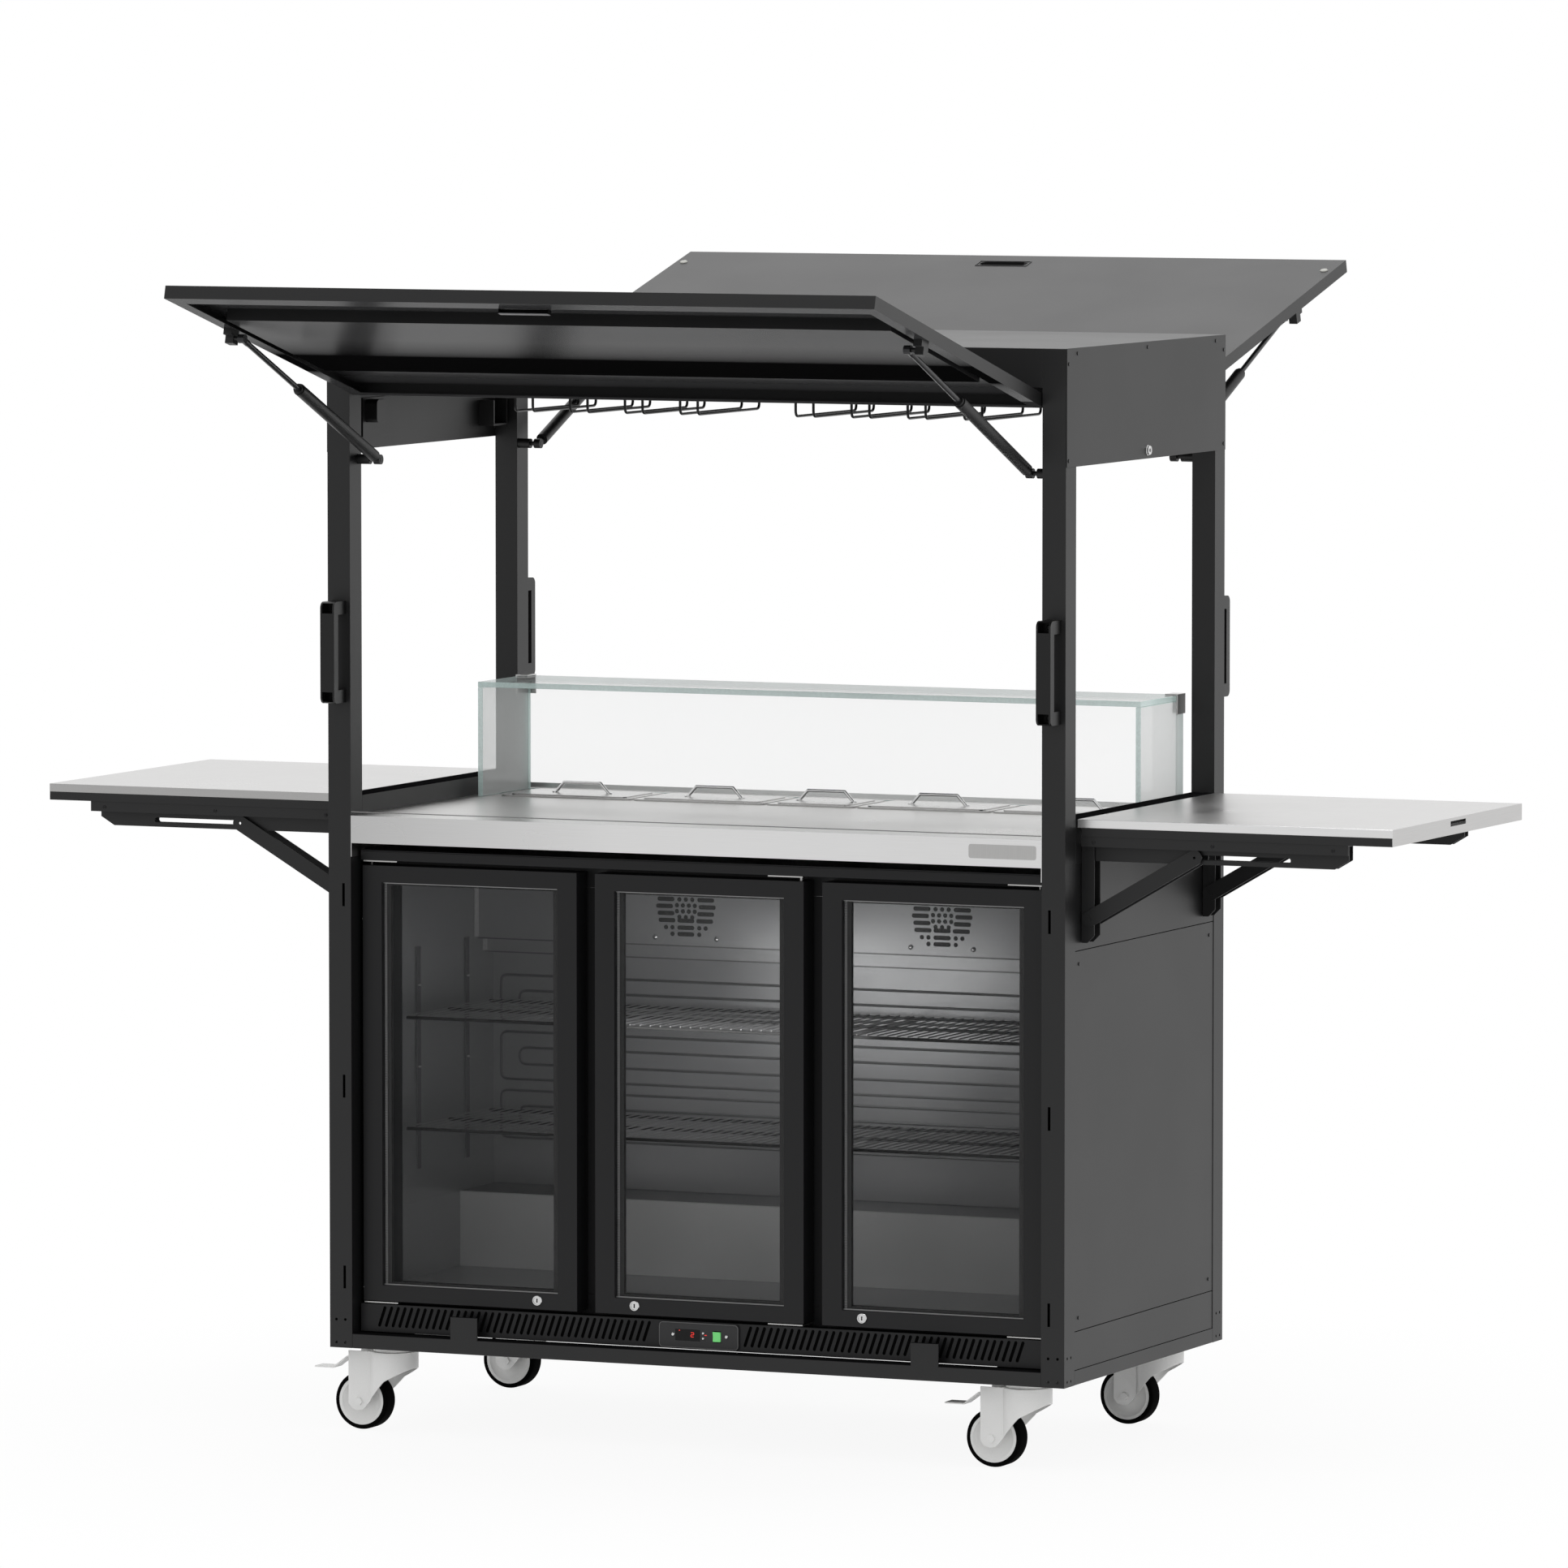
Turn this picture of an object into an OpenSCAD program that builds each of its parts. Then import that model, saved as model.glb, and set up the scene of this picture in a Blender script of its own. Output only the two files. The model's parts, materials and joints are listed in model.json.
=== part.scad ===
// Mobile bar unit: a rolling frame with a three-door cooler, a steel worktop,
// a glass guard over a row of food pans, two gas-strut flaps under a roof and
// two folding side shelves.
// Millimetres, +Z up, front at -Y, origin on the floor under the middle.

/* [Body] */
// Width over the corner posts
body_w = 1450; // [1430:5:1520]
// Depth over the corner posts
body_d = 760; // [750:5:800]
// Height of the roof above the floor
body_h = 2000; // [1960:5:2060]
// Height of the frame underside above the floor
frame_z = 155; // [150:1:170]
// Width of a corner post from side to side
post_w = 45; // [42:1:48]
// Depth of a corner post from front to back
post_d = 48; // [45:1:50]
// Wall of the post tube
post_wall = 2; // [1.5:0.5:3]

/* [Worktop] */
// Height of the worktop above the floor
worktop_z = 1130; // [1110:5:1150]
// Height of the worktop front edge
apron_h = 50; // [45:1:55]
// Depth of the food pans
pan_depth = 65; // [40:5:65]
// Height of the glass guard above the worktop
guard_h = 213; // [180:1:225]
// Thickness of the guard glass
guard_t = 10; // [8:1:12]

/* [Cooler] */
// Thickness of a cooler door
door_t = 44; // [40:1:44]
// Width of the door frame around the glass
door_border = 39; // [32:1:44]
// Gap between two doors
door_gap = 36; // [30:1:44]
// Diameter of a door lock
lock_d = 19; // [16:1:20]
// Pitch of the grille slots
slot_pitch = 13.6; // [12:0.2:16]

/* [Flaps] */
// Angle of the open flap above the level
flap_lift = 14.7; // [8:0.1:20]
// Thickness of a flap
flap_t = 23.5; // [20:0.5:24]
// Diameter of the gas strut tube
tube_d = 22; // [18:1:22]
// Diameter of the gas strut rod
rod_d = 10; // [8:1:10]

/* [Side shelves] */
// Length of a side shelf
shelf_len = 596.5; // [580:0.5:640]
// Depth of a side shelf
shelf_d = 656; // [640:2:662]
// Height of the shelf top above the worktop
shelf_step = 35; // [33:1:40]

/* [Casters] */
// Diameter of a caster wheel
wheel_d = 106; // [98:1:108]
// Width of a caster wheel
wheel_w = 38; // [30:1:40]
// Distance from the swivel axis back to the axle
trail = 58; // [54:1:60]

/* [Handles] */
// Height of a push handle
handle_h = 185; // [160:5:200]
// Reach of a push handle out from its post
handle_out = 49; // [42:1:56]

/* [Hidden] */
$fn = 48;
black = [0.13, 0.13, 0.14];
steel = [0.78, 0.78, 0.77];
zinc = [0.85, 0.85, 0.84];
grey = [0.6, 0.61, 0.62];
clear = [0.75, 0.85, 0.83, 0.4];
tint = [0.35, 0.36, 0.37, 0.45];

// Clearances: a running fit on a pin, a gap between sliding faces, a seam between sheets
fit = 0.05;
gap = 0.5;
seam = 0.3;

hw = body_w / 2;
hd = body_d / 2;
inner_x = hw - post_w;
inner_y = hd - post_d;
rail_h = 27;
rail_d = 40;
rail_top = frame_z + rail_h;
roof_t = 2;
post_top = body_h - roof_t;
sheet = 1.5;

// Worktop, pans and guard
top_t = 2;
rear_lip = 8;
pan_mid_w = 176;
pan_d = 162;
pan_gap = 5;
pan_side = 26;
pan_rim = 1.5;
guard_x = inner_x - 16;
pan_w = (2 * (guard_x - guard_t - pan_side) - pan_mid_w) / 4 - pan_gap;
pan_pitch = pan_w + pan_gap;
pan_off = (pan_mid_w + pan_w) / 2 + pan_gap;
pan_x = [-pan_off - pan_pitch, -pan_off, 0, pan_off, pan_off + pan_pitch];
pan_ws = [pan_w, pan_w, pan_mid_w, pan_w, pan_w];
guard_y1 = hd - 48;
guard_y0 = guard_y1 - 207;
pan_y = guard_y1 - 109;
guard_top = worktop_z + guard_h;
guard_seam = 0.4;

// Cooler carcass and doors
cool_x = inner_x - 5;
cool_top = worktop_z - 64;
door_front = -hd + 31;
door_back = door_front + door_t;
cool_front = -hd + 78.5;
cool_back = cool_front + 472.5;
door_bot = frame_z + 85;
door_top = worktop_z - 92;
door_end = cool_x - 3;
mid_half = (door_end - 2 * door_gap) / 3 + 6;
side_in = mid_half + door_gap;
mullion_x = mid_half + door_gap / 2;
glass_bot = door_bot + 30;
glass_top = door_top - 31;
hinge_in = 11;
hinge_y = door_front + 14;
hinge_r = 4;
hinge_deep = 20;
hinge_up = 6.5;
hinge_t = 2.5;
strip_h = cool_top - door_top - hinge_up - hinge_t;
lock_in = 79;
lock_z = door_bot + 17;
lock_r = lock_d / 2;
cav_bot = door_bot + 28;
cav_top = door_top - 30;
wall = 40;
casing = 2;
rib_pitch = 110;
cav_x = cool_x - wall;
cav_back = cool_back - wall;
hump_z = cav_bot + 140;
hump_y = cav_back - 150;
face_d = 40;
grille_y = door_front - 4;
grille_bot = rail_top + 2.5;
grille_top = door_bot - 5;

// Flap pivot, and the flap's own sizes from that pivot
piv_y = -hd + 8;
piv_z = body_h - 88.4;
piv_in = 8;
piv_down = 6;
piv_r = 3.5;
flap_x = inner_x - 2.2;
flap_len = piv_z + piv_down - worktop_z - 11.2;
flap_turn = 90 + flap_lift;
lip_w = 41;
side_lip = 24;
pan_s0 = 0.262 * flap_len;
pan_s1 = 0.783 * flap_len;
pull_s = flap_len - 54;

// Gas struts: post anchor, flap stud, and the open length between them
strut_x = inner_x - 39;
anchor_y = -hd + 38;
anchor_z = piv_z - 134.6;
stud_s = 0.6865 * flap_len;
stud_t = flap_t + 16.5;
stud_a = stud_t - piv_in;
stud_b = piv_down - stud_s;
stud_y = piv_y + stud_a * cos(flap_turn) + stud_b * sin(flap_turn);
stud_z = piv_z - stud_a * sin(flap_turn) + stud_b * cos(flap_turn);
strut_len = sqrt(pow(stud_y - anchor_y, 2) + pow(stud_z - anchor_z, 2));
strut_ang = atan2(stud_z - anchor_z, stud_y - anchor_y);
tube_len = 0.5863 * strut_len;
anchor_r = 4;

// Side shelves and their folding brackets
shelf_z = worktop_z + shelf_step;
shelf_x0 = hw + 2;
shelf_x1 = shelf_x0 + shelf_len;
steel_h = 15;
ring_h = 15;
ring_top = shelf_z - steel_h;
ring_bot = ring_top - ring_h;
skin = 1.2;
brk_y = shelf_d / 2 - 38;
band_y = shelf_d / 2 - 2;
band_h = 18.5;
leg_w = 30;
leg_d = 25;
leg_t = 2.5;
arm_w = leg_w - 2 * leg_t - 10 * gap;
arm_h = 45.5;
arm_bot = ring_bot - arm_h;
arm_r = 11.5;
arm_px = hw + leg_d - 9;
arm_pz = arm_bot + arm_r;
arm_end = shelf_x1 - 92.5;
pin_r = 4;
slot_z = arm_bot + 12.5;
brace_x = arm_px + 200.4;
brace_pz = slot_z - 115.8;
brace_len = sqrt(pow(brace_x - arm_px, 2) + pow(slot_z - brace_pz, 2));
brace_ang = atan2(slot_z - brace_pz, brace_x - arm_px);
brace_w = 28;
brace_t = 2.5;

// Casters
cast_x = hw - 98;
cast_y = hd - 65;
wheel_r = wheel_d / 2;
plate_t = 3;
ring_z = frame_z - 9;
head_r = 45;
head_z0 = ring_z - 6;
head_z1 = ring_z - 0.4;
cheek_in = wheel_w / 2 + 6;
cheek_t = 3;
axle_r = 5;
king_r = 6;
pedal_x = -(head_r + 9);
pedal_z = head_z0 - 4;

// Roof
header_bot = piv_z + 18.4;
ceil_bot = piv_z - 18.6;
ceil_y = hd - 40;
fascia_bot = body_h - 210;
rack_in = 97;
rack_w = 35;
rack_pitch = 110;

// Controller
ctrl_x = 3;
ctrl_w = 157;
ctrl_h = 47;
ctrl_z = (grille_bot + grille_top) / 2;
ctrl_y = grille_y - 4;
rock_x = 39;
rock_y = grille_y - 1.5;

// Helpers

module bar(x0, x1, y0, y1, z0, z1) {
  translate([x0, y0, z0]) cube([x1 - x0, y1 - y0, z1 - z0]);
}

module tube_x(x0, x1, y0, y1, z0, z1, t) {
  difference() {
    bar(x0, x1, y0, y1, z0, z1);
    bar(x0 - 1, x1 + 1, y0 + t, y1 - t, z0 + t, z1 - t);
  }
}

module tube_y(x0, x1, y0, y1, z0, z1, t) {
  difference() {
    bar(x0, x1, y0, y1, z0, z1);
    bar(x0 + t, x1 - t, y0 - 1, y1 + 1, z0 + t, z1 - t);
  }
}

module both_x() {
  children();
  mirror([1, 0, 0]) children();
}

module both_y() {
  children();
  mirror([0, 1, 0]) children();
}

module rounded(w, h, r) {
  square([w - 2 * r, h], center = true);
  square([w, h - 2 * r], center = true);
  for (x = [-1, 1], y = [-1, 1]) {
    translate([x * (w / 2 - r), y * (h / 2 - r)]) circle(r);
  }
}

module stadium(l, w) {
  square([l - w, w], center = true);
  for (x = [-1, 1]) translate([x * (l - w) / 2, 0]) circle(w / 2);
}

// A round bar between two points in one plane x = const or y = const
module rod(p, q, r) {
  d = q - p;
  l = norm(d);
  b = acos(d[2] / l);
  c = atan2(d[1], d[0]);
  translate(p) rotate([0, b, c]) cylinder(r = r, h = l);
}

module pin_x(x0, x1, y, z, r) {
  translate([x0, y, z]) rotate([0, 90, 0]) cylinder(r = r, h = x1 - x0);
}

module pin_y(x, y0, y1, z, r) {
  translate([x, y0, z]) rotate([-90, 0, 0]) cylinder(r = r, h = y1 - y0);
}

module pin_z(x, y, z0, z1, r) {
  translate([x, y, z0]) cylinder(r = r, h = z1 - z0);
}

// A profile drawn in X and Z, pushed along +Y from y0
module push_y(y0, y1) {
  translate([0, y1, 0]) rotate([90, 0, 0]) linear_extrude(y1 - y0) children();
}

// A profile drawn in Y and Z, pushed along +X from x0
module push_x(x0, x1) {
  translate([x0, 0, 0]) rotate([90, 0, 90]) linear_extrude(x1 - x0) children();
}

// Frame

module one_post() {
  difference() {
    bar(inner_x, hw, -hd, -inner_y, frame_z, post_top);
    bar(inner_x + post_wall, hw - post_wall, -hd + post_wall, -inner_y - post_wall,
      frame_z - 1, post_top + 1);
    for (t = [0.1333, 0.4923, 0.8513]) {
      z = frame_z + t * (worktop_z - frame_z);
      bar(hw - 32.5, hw - 27.5, -hd - 1, -hd + post_wall + 1, z - 21, z + 21);
    }
    for (x = [13, 31], z = [10, 52]) {
      pin_y(hw - x, -hd - 1, -hd + post_wall + 1, frame_z + z, 2.6);
    }
    for (y = [14, 31], z = [10, 52]) {
      pin_x(hw - post_wall - 1, hw + 1, -hd + y, frame_z + z, 2.6);
    }
    pin_x(inner_x - 1, inner_x + post_wall + 1, piv_y, piv_z, piv_r + fit);
  }
}

module corner_posts() color(black) {
  both_x() both_y() one_post();
}

module base_frame() color(black) {
  both_y() tube_x(-inner_x, inner_x, -hd, -hd + rail_d, frame_z, rail_top, 2);
  both_x() {
    tube_y(inner_x, hw, -inner_y, inner_y, frame_z, rail_top, 2);
    tube_y(cast_x - 50, inner_x, -hd + rail_d, hd - rail_d, frame_z, rail_top, 2);
    tube_y(inner_x, hw, -inner_y, inner_y, worktop_z - 45, shelf_z, 2);
    tube_y(hw - 35, hw, -inner_y, inner_y, post_top - 40, post_top, 2);
    bar(cool_x - 247, cool_x - 193, -hd, -hd + 3, rail_top, rail_top + 41);
  }
}

module body_panels() color(black) {
  top = worktop_z - 45;
  both_x() {
    bar(hw - 2.5, hw - 1, -inner_y, inner_y, rail_top, rail_top + 68);
    bar(hw - 2.5, hw - 1, -inner_y, inner_y, rail_top + 69.5, top - 156);
    bar(hw - 2.5, hw - 1, -inner_y, inner_y, top - 154.5, top);
  }
  push_y(hd - 2, hd) difference() {
    translate([-inner_x, rail_top]) square([2 * inner_x, worktop_z - apron_h - rail_top]);
    for (x = [-14 : 1 : 14], s = [-1, 1]) {
      translate([s * 360 + x * 16, rail_top + 90]) rotate(90) stadium(70, 7);
    }
  }
}

// Worktop, pans, guard

module worktop() color(steel) {
  translate([0, 0, worktop_z - top_t]) linear_extrude(top_t) difference() {
    square([2 * inner_x, body_d], center = true);
    for (i = [0 : 4]) {
      translate([pan_x[i], pan_y]) rounded(pan_ws[i] - 13, pan_d - 13, 10);
    }
  }
  bar(-inner_x, inner_x, -hd, -hd + sheet, worktop_z - apron_h, worktop_z - top_t);
  bar(-inner_x, inner_x, -hd + sheet, -hd + 25, worktop_z - apron_h, worktop_z - apron_h + sheet);
  bar(-inner_x, inner_x, hd - 2, hd, worktop_z - apron_h, worktop_z - top_t);
  both_x() bar(inner_x - sheet, inner_x, -hd, hd - 2, worktop_z - apron_h - 25, worktop_z - top_t);
  bar(-inner_x, inner_x, hd - 2, hd, worktop_z, worktop_z + rear_lip);
}

module one_pan(w) {
  linear_extrude(pan_rim) difference() {
    rounded(w, pan_d, 12);
    rounded(w - 17, pan_d - 17, 9);
  }
  difference() {
    translate([0, 0, pan_rim - pan_depth]) linear_extrude(pan_depth - pan_rim) {
      rounded(w - 15, pan_d - 15, 10);
    }
    translate([0, 0, pan_rim - pan_depth + 1]) linear_extrude(pan_depth) {
      rounded(w - 17, pan_d - 17, 9);
    }
  }
}

module food_pans() color(steel) {
  for (i = [0 : 4]) translate([pan_x[i], pan_y, worktop_z]) one_pan(pan_ws[i]);
}

module lid(i) color(steel) {
  w = pan_ws[i];
  z = worktop_z + pan_rim;
  translate([pan_x[i], pan_y, z]) {
    linear_extrude(1.2) rounded(w - 3, pan_d - 3, 11);
    translate([0, 0, 1.2]) linear_extrude(2) rounded(w - 30, pan_d - 32, 10);
    for (s = [-1, 1]) {
      rod([s * 55, 0, 2.5], [s * 37, 0, 22], 3);
      translate([s * 37, 0, 22]) sphere(3);
      pin_z(s * 55, 0, 3.2, 5, 6);
    }
    pin_x(-37, 37, 0, 22, 3);
  }
}

module glass_guard() color(clear) {
  z1 = guard_top - guard_t - guard_seam;
  both_x() bar(guard_x - guard_t, guard_x, guard_y0, guard_y1, worktop_z, z1);
  bar(-guard_x + guard_t + guard_seam, guard_x - guard_t - guard_seam,
    guard_y1 - guard_t, guard_y1, worktop_z, z1);
  bar(-guard_x, guard_x, guard_y0, guard_y1, guard_top - guard_t, guard_top);
}

module glass_clamps() color(steel) {
  both_x() difference() {
    bar(guard_x - 22, guard_x + 3, guard_y1 - 36, guard_y1 + 3, guard_top - 34, guard_top + 3);
    bar(guard_x - 23, guard_x, guard_y1 - 37, guard_y1, guard_top - 35, guard_top);
  }
}

// Cooler

// Outer casing, front frame and mullions: flat sheets set edge to edge with a seam
module cooler_shell() color(black) {
  k = casing;
  top = cool_top - k - seam;
  x = cool_x - k - seam;
  y = cool_front + k + seam;
  xc = cav_x - seam;
  bar(-cool_x, cool_x, door_front, cool_back, cool_top - k, cool_top);
  bar(-cool_x, cool_x, door_front, door_front + k, cool_top - strip_h, top);
  bar(-x, x, cool_front, cool_back, rail_top, rail_top + k);
  both_x() {
    bar(cool_x - k, cool_x, cool_front, cool_back, rail_top, top);
    bar(cav_x, x, cool_front, cool_front + k, rail_top + k + seam, top);
    bar(cav_x, cav_x + k, y, cool_front + face_d, cav_bot, cav_top);
  }
  bar(-xc, xc, cool_front, cool_front + k, cav_top, top);
  bar(-xc, xc, y, cool_front + face_d, cav_top, cav_top + k);
  bar(-xc, xc, cool_front, cool_front + k, grille_top - 4, cav_bot);
  bar(-xc, xc, y, cool_front + face_d, cav_bot - k, cav_bot);
  for (m = [-mullion_x, mullion_x]) {
    bar(m - 32, m + 32, cool_front, cool_front + k, cav_bot + seam, cav_top - seam);
    for (e = [m - 32, m + 30]) bar(e, e + k, y, cool_front + face_d, cav_bot + seam, cav_top - seam);
  }
}

// Round holes and slots of one fan cover, drawn about its middle
module fan_vents() {
  for (r = [[-40, 33], [-43, 20], [-40, 7], [40, 33], [43, 20], [40, 7], [-38, -6], [0, -6], [38, -6],
    [0, -19], [0, -31]]) {
    translate(r) stadium(34, 8);
  }
  for (r = [-13, 0, 13]) {
    translate([r, 33]) circle(4.2);
    translate([r, 0.5]) circle(4.2);
  }
  for (r = [-18, -6, 6, 18]) {
    translate([r, 22]) circle(4.2);
    translate([r, 11]) circle(4.2);
  }
  for (s = [-1, 1]) {
    translate([s * 40, -19]) circle(4.2);
    translate([s * 27, -19]) circle(4.2);
    translate([s * 27, -31]) circle(4.2);
  }
}

module cooler_liner() color(grey) {
  y0 = cool_front + face_d + seam;
  evap_z = cav_top - 95;
  evap_y = cav_back - 90;
  x1 = cav_x - 1 - seam;
  both_x() {
    bar(cav_x - 1, cav_x, y0, cav_back, hump_z, cav_top);
    bar(cav_x - 1, cav_x, y0, hump_y, cav_bot, hump_z - seam);
  }
  bar(-x1, x1, y0, cav_back, cav_top - 1, cav_top);
  bar(-x1, x1, y0, hump_y, cav_bot, cav_bot + 1);
  bar(-x1, x1, hump_y - 1, hump_y, cav_bot + 1 + seam, hump_z - seam);
  bar(-x1, x1, hump_y - 1, cav_back, hump_z, hump_z + 1);
  bar(-x1, x1, cav_back - 1, cav_back, hump_z + 1 + seam, cav_top - 1 - seam);
  push_y(evap_y, evap_y + 1.2) difference() {
    translate([-x1, evap_z]) square([2 * x1, 94 - seam]);
    for (x = [0, 2 * mullion_x]) translate([x, evap_z + 52]) fan_vents();
  }
  bar(-x1, x1, evap_y + 1.2, cav_back - 1 - seam, evap_z, evap_z + 1.2);
  for (x = [0, 2 * mullion_x], s = [-1, 1]) {
    translate([x + s * 62, evap_y, evap_z + 12]) rotate([90, 0, 0]) cylinder(r = 4, h = 2);
  }
  for (t = [0, 1, 2, 3]) {
    push_y(cav_back - 3.5, cav_back - 1) translate([0, hump_z + 227 + t * rib_pitch]) {
      difference() {
        rounded(2 * cav_x - 80, 78, 14);
        rounded(2 * cav_x - 94, 64, 8);
      }
      difference() {
        stadium(2 * cav_x - 130, 30);
        stadium(2 * cav_x - 144, 16);
      }
    }
  }
}

module wire_shelf(x0, x1, y0, y1, z) {
  n = 15;
  step = (x1 - x0 - 5) / n;
  translate([0, 0, z]) linear_extrude(5) {
    translate([x0, y0]) square([x1 - x0, 6]);
    translate([x0, y1 - 6]) square([x1 - x0, 6]);
    translate([x0, (y0 + y1) / 2 - 3]) square([x1 - x0, 6]);
    for (i = [0 : n]) translate([x0 + i * step, y0]) square([5, y1 - y0]);
  }
}

module shelf_set() color(grey) {
  y0 = cool_front + face_d + 1;
  y1 = cav_back - 110;
  z0 = hump_z + 60;
  z1 = cav_top - 130;
  for (s = [-1, 1]) {
    for (y = [y0 + 10, y1 - 40]) {
      bar(s * (cav_x - 2.5) - 1.5, s * (cav_x - 2.5) + 1.5, y, y + 16, z0, z1);
    }
    bar(s * mullion_x - 10, s * mullion_x + 10, y0 - 1, y0 + 3, z0, z1);
    bar(s * mullion_x - 10, s * mullion_x + 10, cav_back - 7.5, cav_back - 3.5, z0, z1);
  }
  for (z = [hump_z + 75, hump_z + 285]) {
    for (s = [-1, 1]) {
      bar(s * mullion_x - 10, s * mullion_x + 10, y0 + 3 + seam, cav_back - 7.5 - seam, z - 4, z - seam);
    }
    wire_shelf(-cav_x + 4 + seam, -mullion_x - 1, y0 + 4, y1, z);
    wire_shelf(-mullion_x + 1, mullion_x - 1, y0 + 4, y1, z);
    wire_shelf(mullion_x + 1, cav_x - 4 - seam, y0 + 4, y1, z);
  }
}

module slot_row(x0, x1) {
  n = floor((x1 - x0 - 18) / slot_pitch);
  zm = (grille_bot + grille_top) / 2 + 3;
  for (i = [0 : n]) {
    translate([x0 + 9 + i * slot_pitch, zm]) rotate(71) stadium(40, 6);
  }
}

module vent_grille() color(black) {
  push_y(grille_y, grille_y + sheet) difference() {
    translate([-cool_x, grille_bot]) square([2 * cool_x, grille_top - grille_bot]);
    slot_row(-cool_x + 34, ctrl_x - ctrl_w / 2 - 6);
    slot_row(ctrl_x + ctrl_w / 2 + 8, cool_x - 30);
    translate([rock_x, ctrl_z]) square([20, 24], center = true);
  }
  both_x() bar(cool_x - sheet, cool_x, grille_y + sheet, cool_front, grille_bot, grille_top);
  bar(-cool_x + sheet, cool_x - sheet, grille_y + sheet, cool_front, grille_bot, grille_bot + sheet);
}

module controller_panel() color(black) {
  difference() {
    push_y(ctrl_y, grille_y) translate([ctrl_x, ctrl_z]) rounded(ctrl_w, ctrl_h, 8);
    bar(ctrl_x - 46, ctrl_x + 3, ctrl_y - 1, ctrl_y + 1, ctrl_z - 10, ctrl_z + 11);
    bar(rock_x - 8, rock_x + 8, ctrl_y - 1, grille_y + 1, ctrl_z - 10.5, ctrl_z + 10.5);
  }
  for (x = [ctrl_x - 50, ctrl_x + 56]) pin_y(x, ctrl_y - 1.2, ctrl_y, ctrl_z, 2.6);
  for (z = [-5, 4]) pin_y(ctrl_x + 10, ctrl_y - 1, ctrl_y, ctrl_z + z, 2);
  for (s = [-1, 1]) {
    pin_x(rock_x + (s < 0 ? -8 : 6), rock_x + (s < 0 ? -6 : 8), rock_y, ctrl_z, 1.5);
  }
}

module rocker_switch() color([0.45, 0.75, 0.45]) {
  difference() {
    push_x(rock_x - 7.4, rock_x + 7.4) translate([rock_y, ctrl_z]) {
      polygon([[-5.2, 9], [-3.6, 0], [-4.4, -9], [1.5, -8], [4, 0], [1.5, 8]]);
    }
    for (s = [-1, 1]) {
      pin_x(rock_x + (s < 0 ? -8 : 5.5), rock_x + (s < 0 ? -5.5 : 8), rock_y, ctrl_z, 1.5 + fit);
    }
  }
}

// Doors: each runs from x0 to x1, with its pivot near the end named by h

module door_frame(x0, x1, h) {
  px = h < 0 ? x0 + hinge_in : x1 - hinge_in;
  lx = h < 0 ? x1 - lock_in : x0 + lock_in;
  difference() {
    bar(x0, x1, door_front, door_back, door_bot, door_top);
    bar(x0 + door_border, x1 - door_border, door_front - 1, door_back + 1, glass_bot, glass_top);
    pin_z(px, hinge_y, door_top - hinge_deep - 2, door_top + 1, hinge_r + fit);
    pin_z(px, hinge_y, door_bot - 1, door_bot + hinge_deep + 2, hinge_r + fit);
    pin_y(lx, door_front - 1, door_front + 18, lock_z, lock_r + fit);
  }
  difference() {
    bar(x0 + 14, x1 - 14, door_back, door_back + 2.5, door_bot + 8, door_top - 8);
    bar(x0 + 26, x1 - 26, door_back - 1, door_back + 4, door_bot + 20, door_top - 20);
  }
}

module pane(x0, x1) {
  bar(x0 + door_border, x1 - door_border, door_front + 8, door_front + 26, glass_bot, glass_top);
}

module lock_plug(x) {
  difference() {
    union() {
      pin_y(x, door_front - 2.5, door_front + 16, lock_z, lock_r);
      pin_y(x, door_front - 3.5, door_front - 2.5, lock_z, lock_r - 3);
    }
    bar(x - 1, x + 1, door_front - 5, door_front + 8, lock_z - 4, lock_z + 4);
  }
}

module door_left() color(black) door_frame(-door_end, -side_in, -1);
module door_middle() color(black) door_frame(-mid_half, mid_half, 1);
module door_right() color(black) door_frame(side_in, door_end, 1);
module glass_left() color(tint) pane(-door_end, -side_in);
module glass_middle() color(tint) pane(-mid_half, mid_half);
module glass_right() color(tint) pane(side_in, door_end);
module lock_left() color(steel) lock_plug(-side_in - lock_in);
module lock_middle() color(steel) lock_plug(-mid_half + lock_in);
module lock_right() color(steel) lock_plug(side_in + lock_in);

module door_hinges() color(steel) {
  for (h = [[-door_end + hinge_in, 1], [mid_half - hinge_in, -1], [door_end - hinge_in, -1]]) {
    x0 = h[1] > 0 ? h[0] - 9 : h[0] - 59;
    bar(x0, x0 + 68, door_front, cool_front, door_top + hinge_up, door_top + hinge_up + hinge_t);
    pin_z(h[0], hinge_y, door_top - hinge_deep, door_top + hinge_up, hinge_r);
    bar(x0, x0 + 68, door_front, cool_front, door_bot - 3.5, door_bot - 1);
    pin_z(h[0], hinge_y, door_bot - 1, door_bot + hinge_deep, hinge_r);
  }
}

// Roof

module roof_panel() color(black) {
  bar(-hw, hw, -hd, hd, post_top, body_h);
  both_y() {
    bar(-inner_x, inner_x, -hd, -hd + 2, header_bot, post_top);
    bar(-inner_x, inner_x, -hd + 2, -ceil_y, header_bot, header_bot + 2);
    bar(-inner_x, inner_x, -ceil_y, -ceil_y + 2, ceil_bot, post_top);
  }
  bar(-inner_x, inner_x, -ceil_y + 2, ceil_y - 2, ceil_bot, ceil_bot + 2);
}

module fascia_panels() color(black) {
  both_x() bar(hw, hw + sheet, -hd + 1, hd - 1, fascia_bot, body_h);
}

module fascia_locks() color(steel) {
  both_x() {
    pin_x(hw + sheet, hw + sheet + 3, 0, fascia_bot + 15, 9.5);
    pin_x(hw + sheet + 3, hw + sheet + 6, 0, fascia_bot + 15, 7.5);
  }
}

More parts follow.
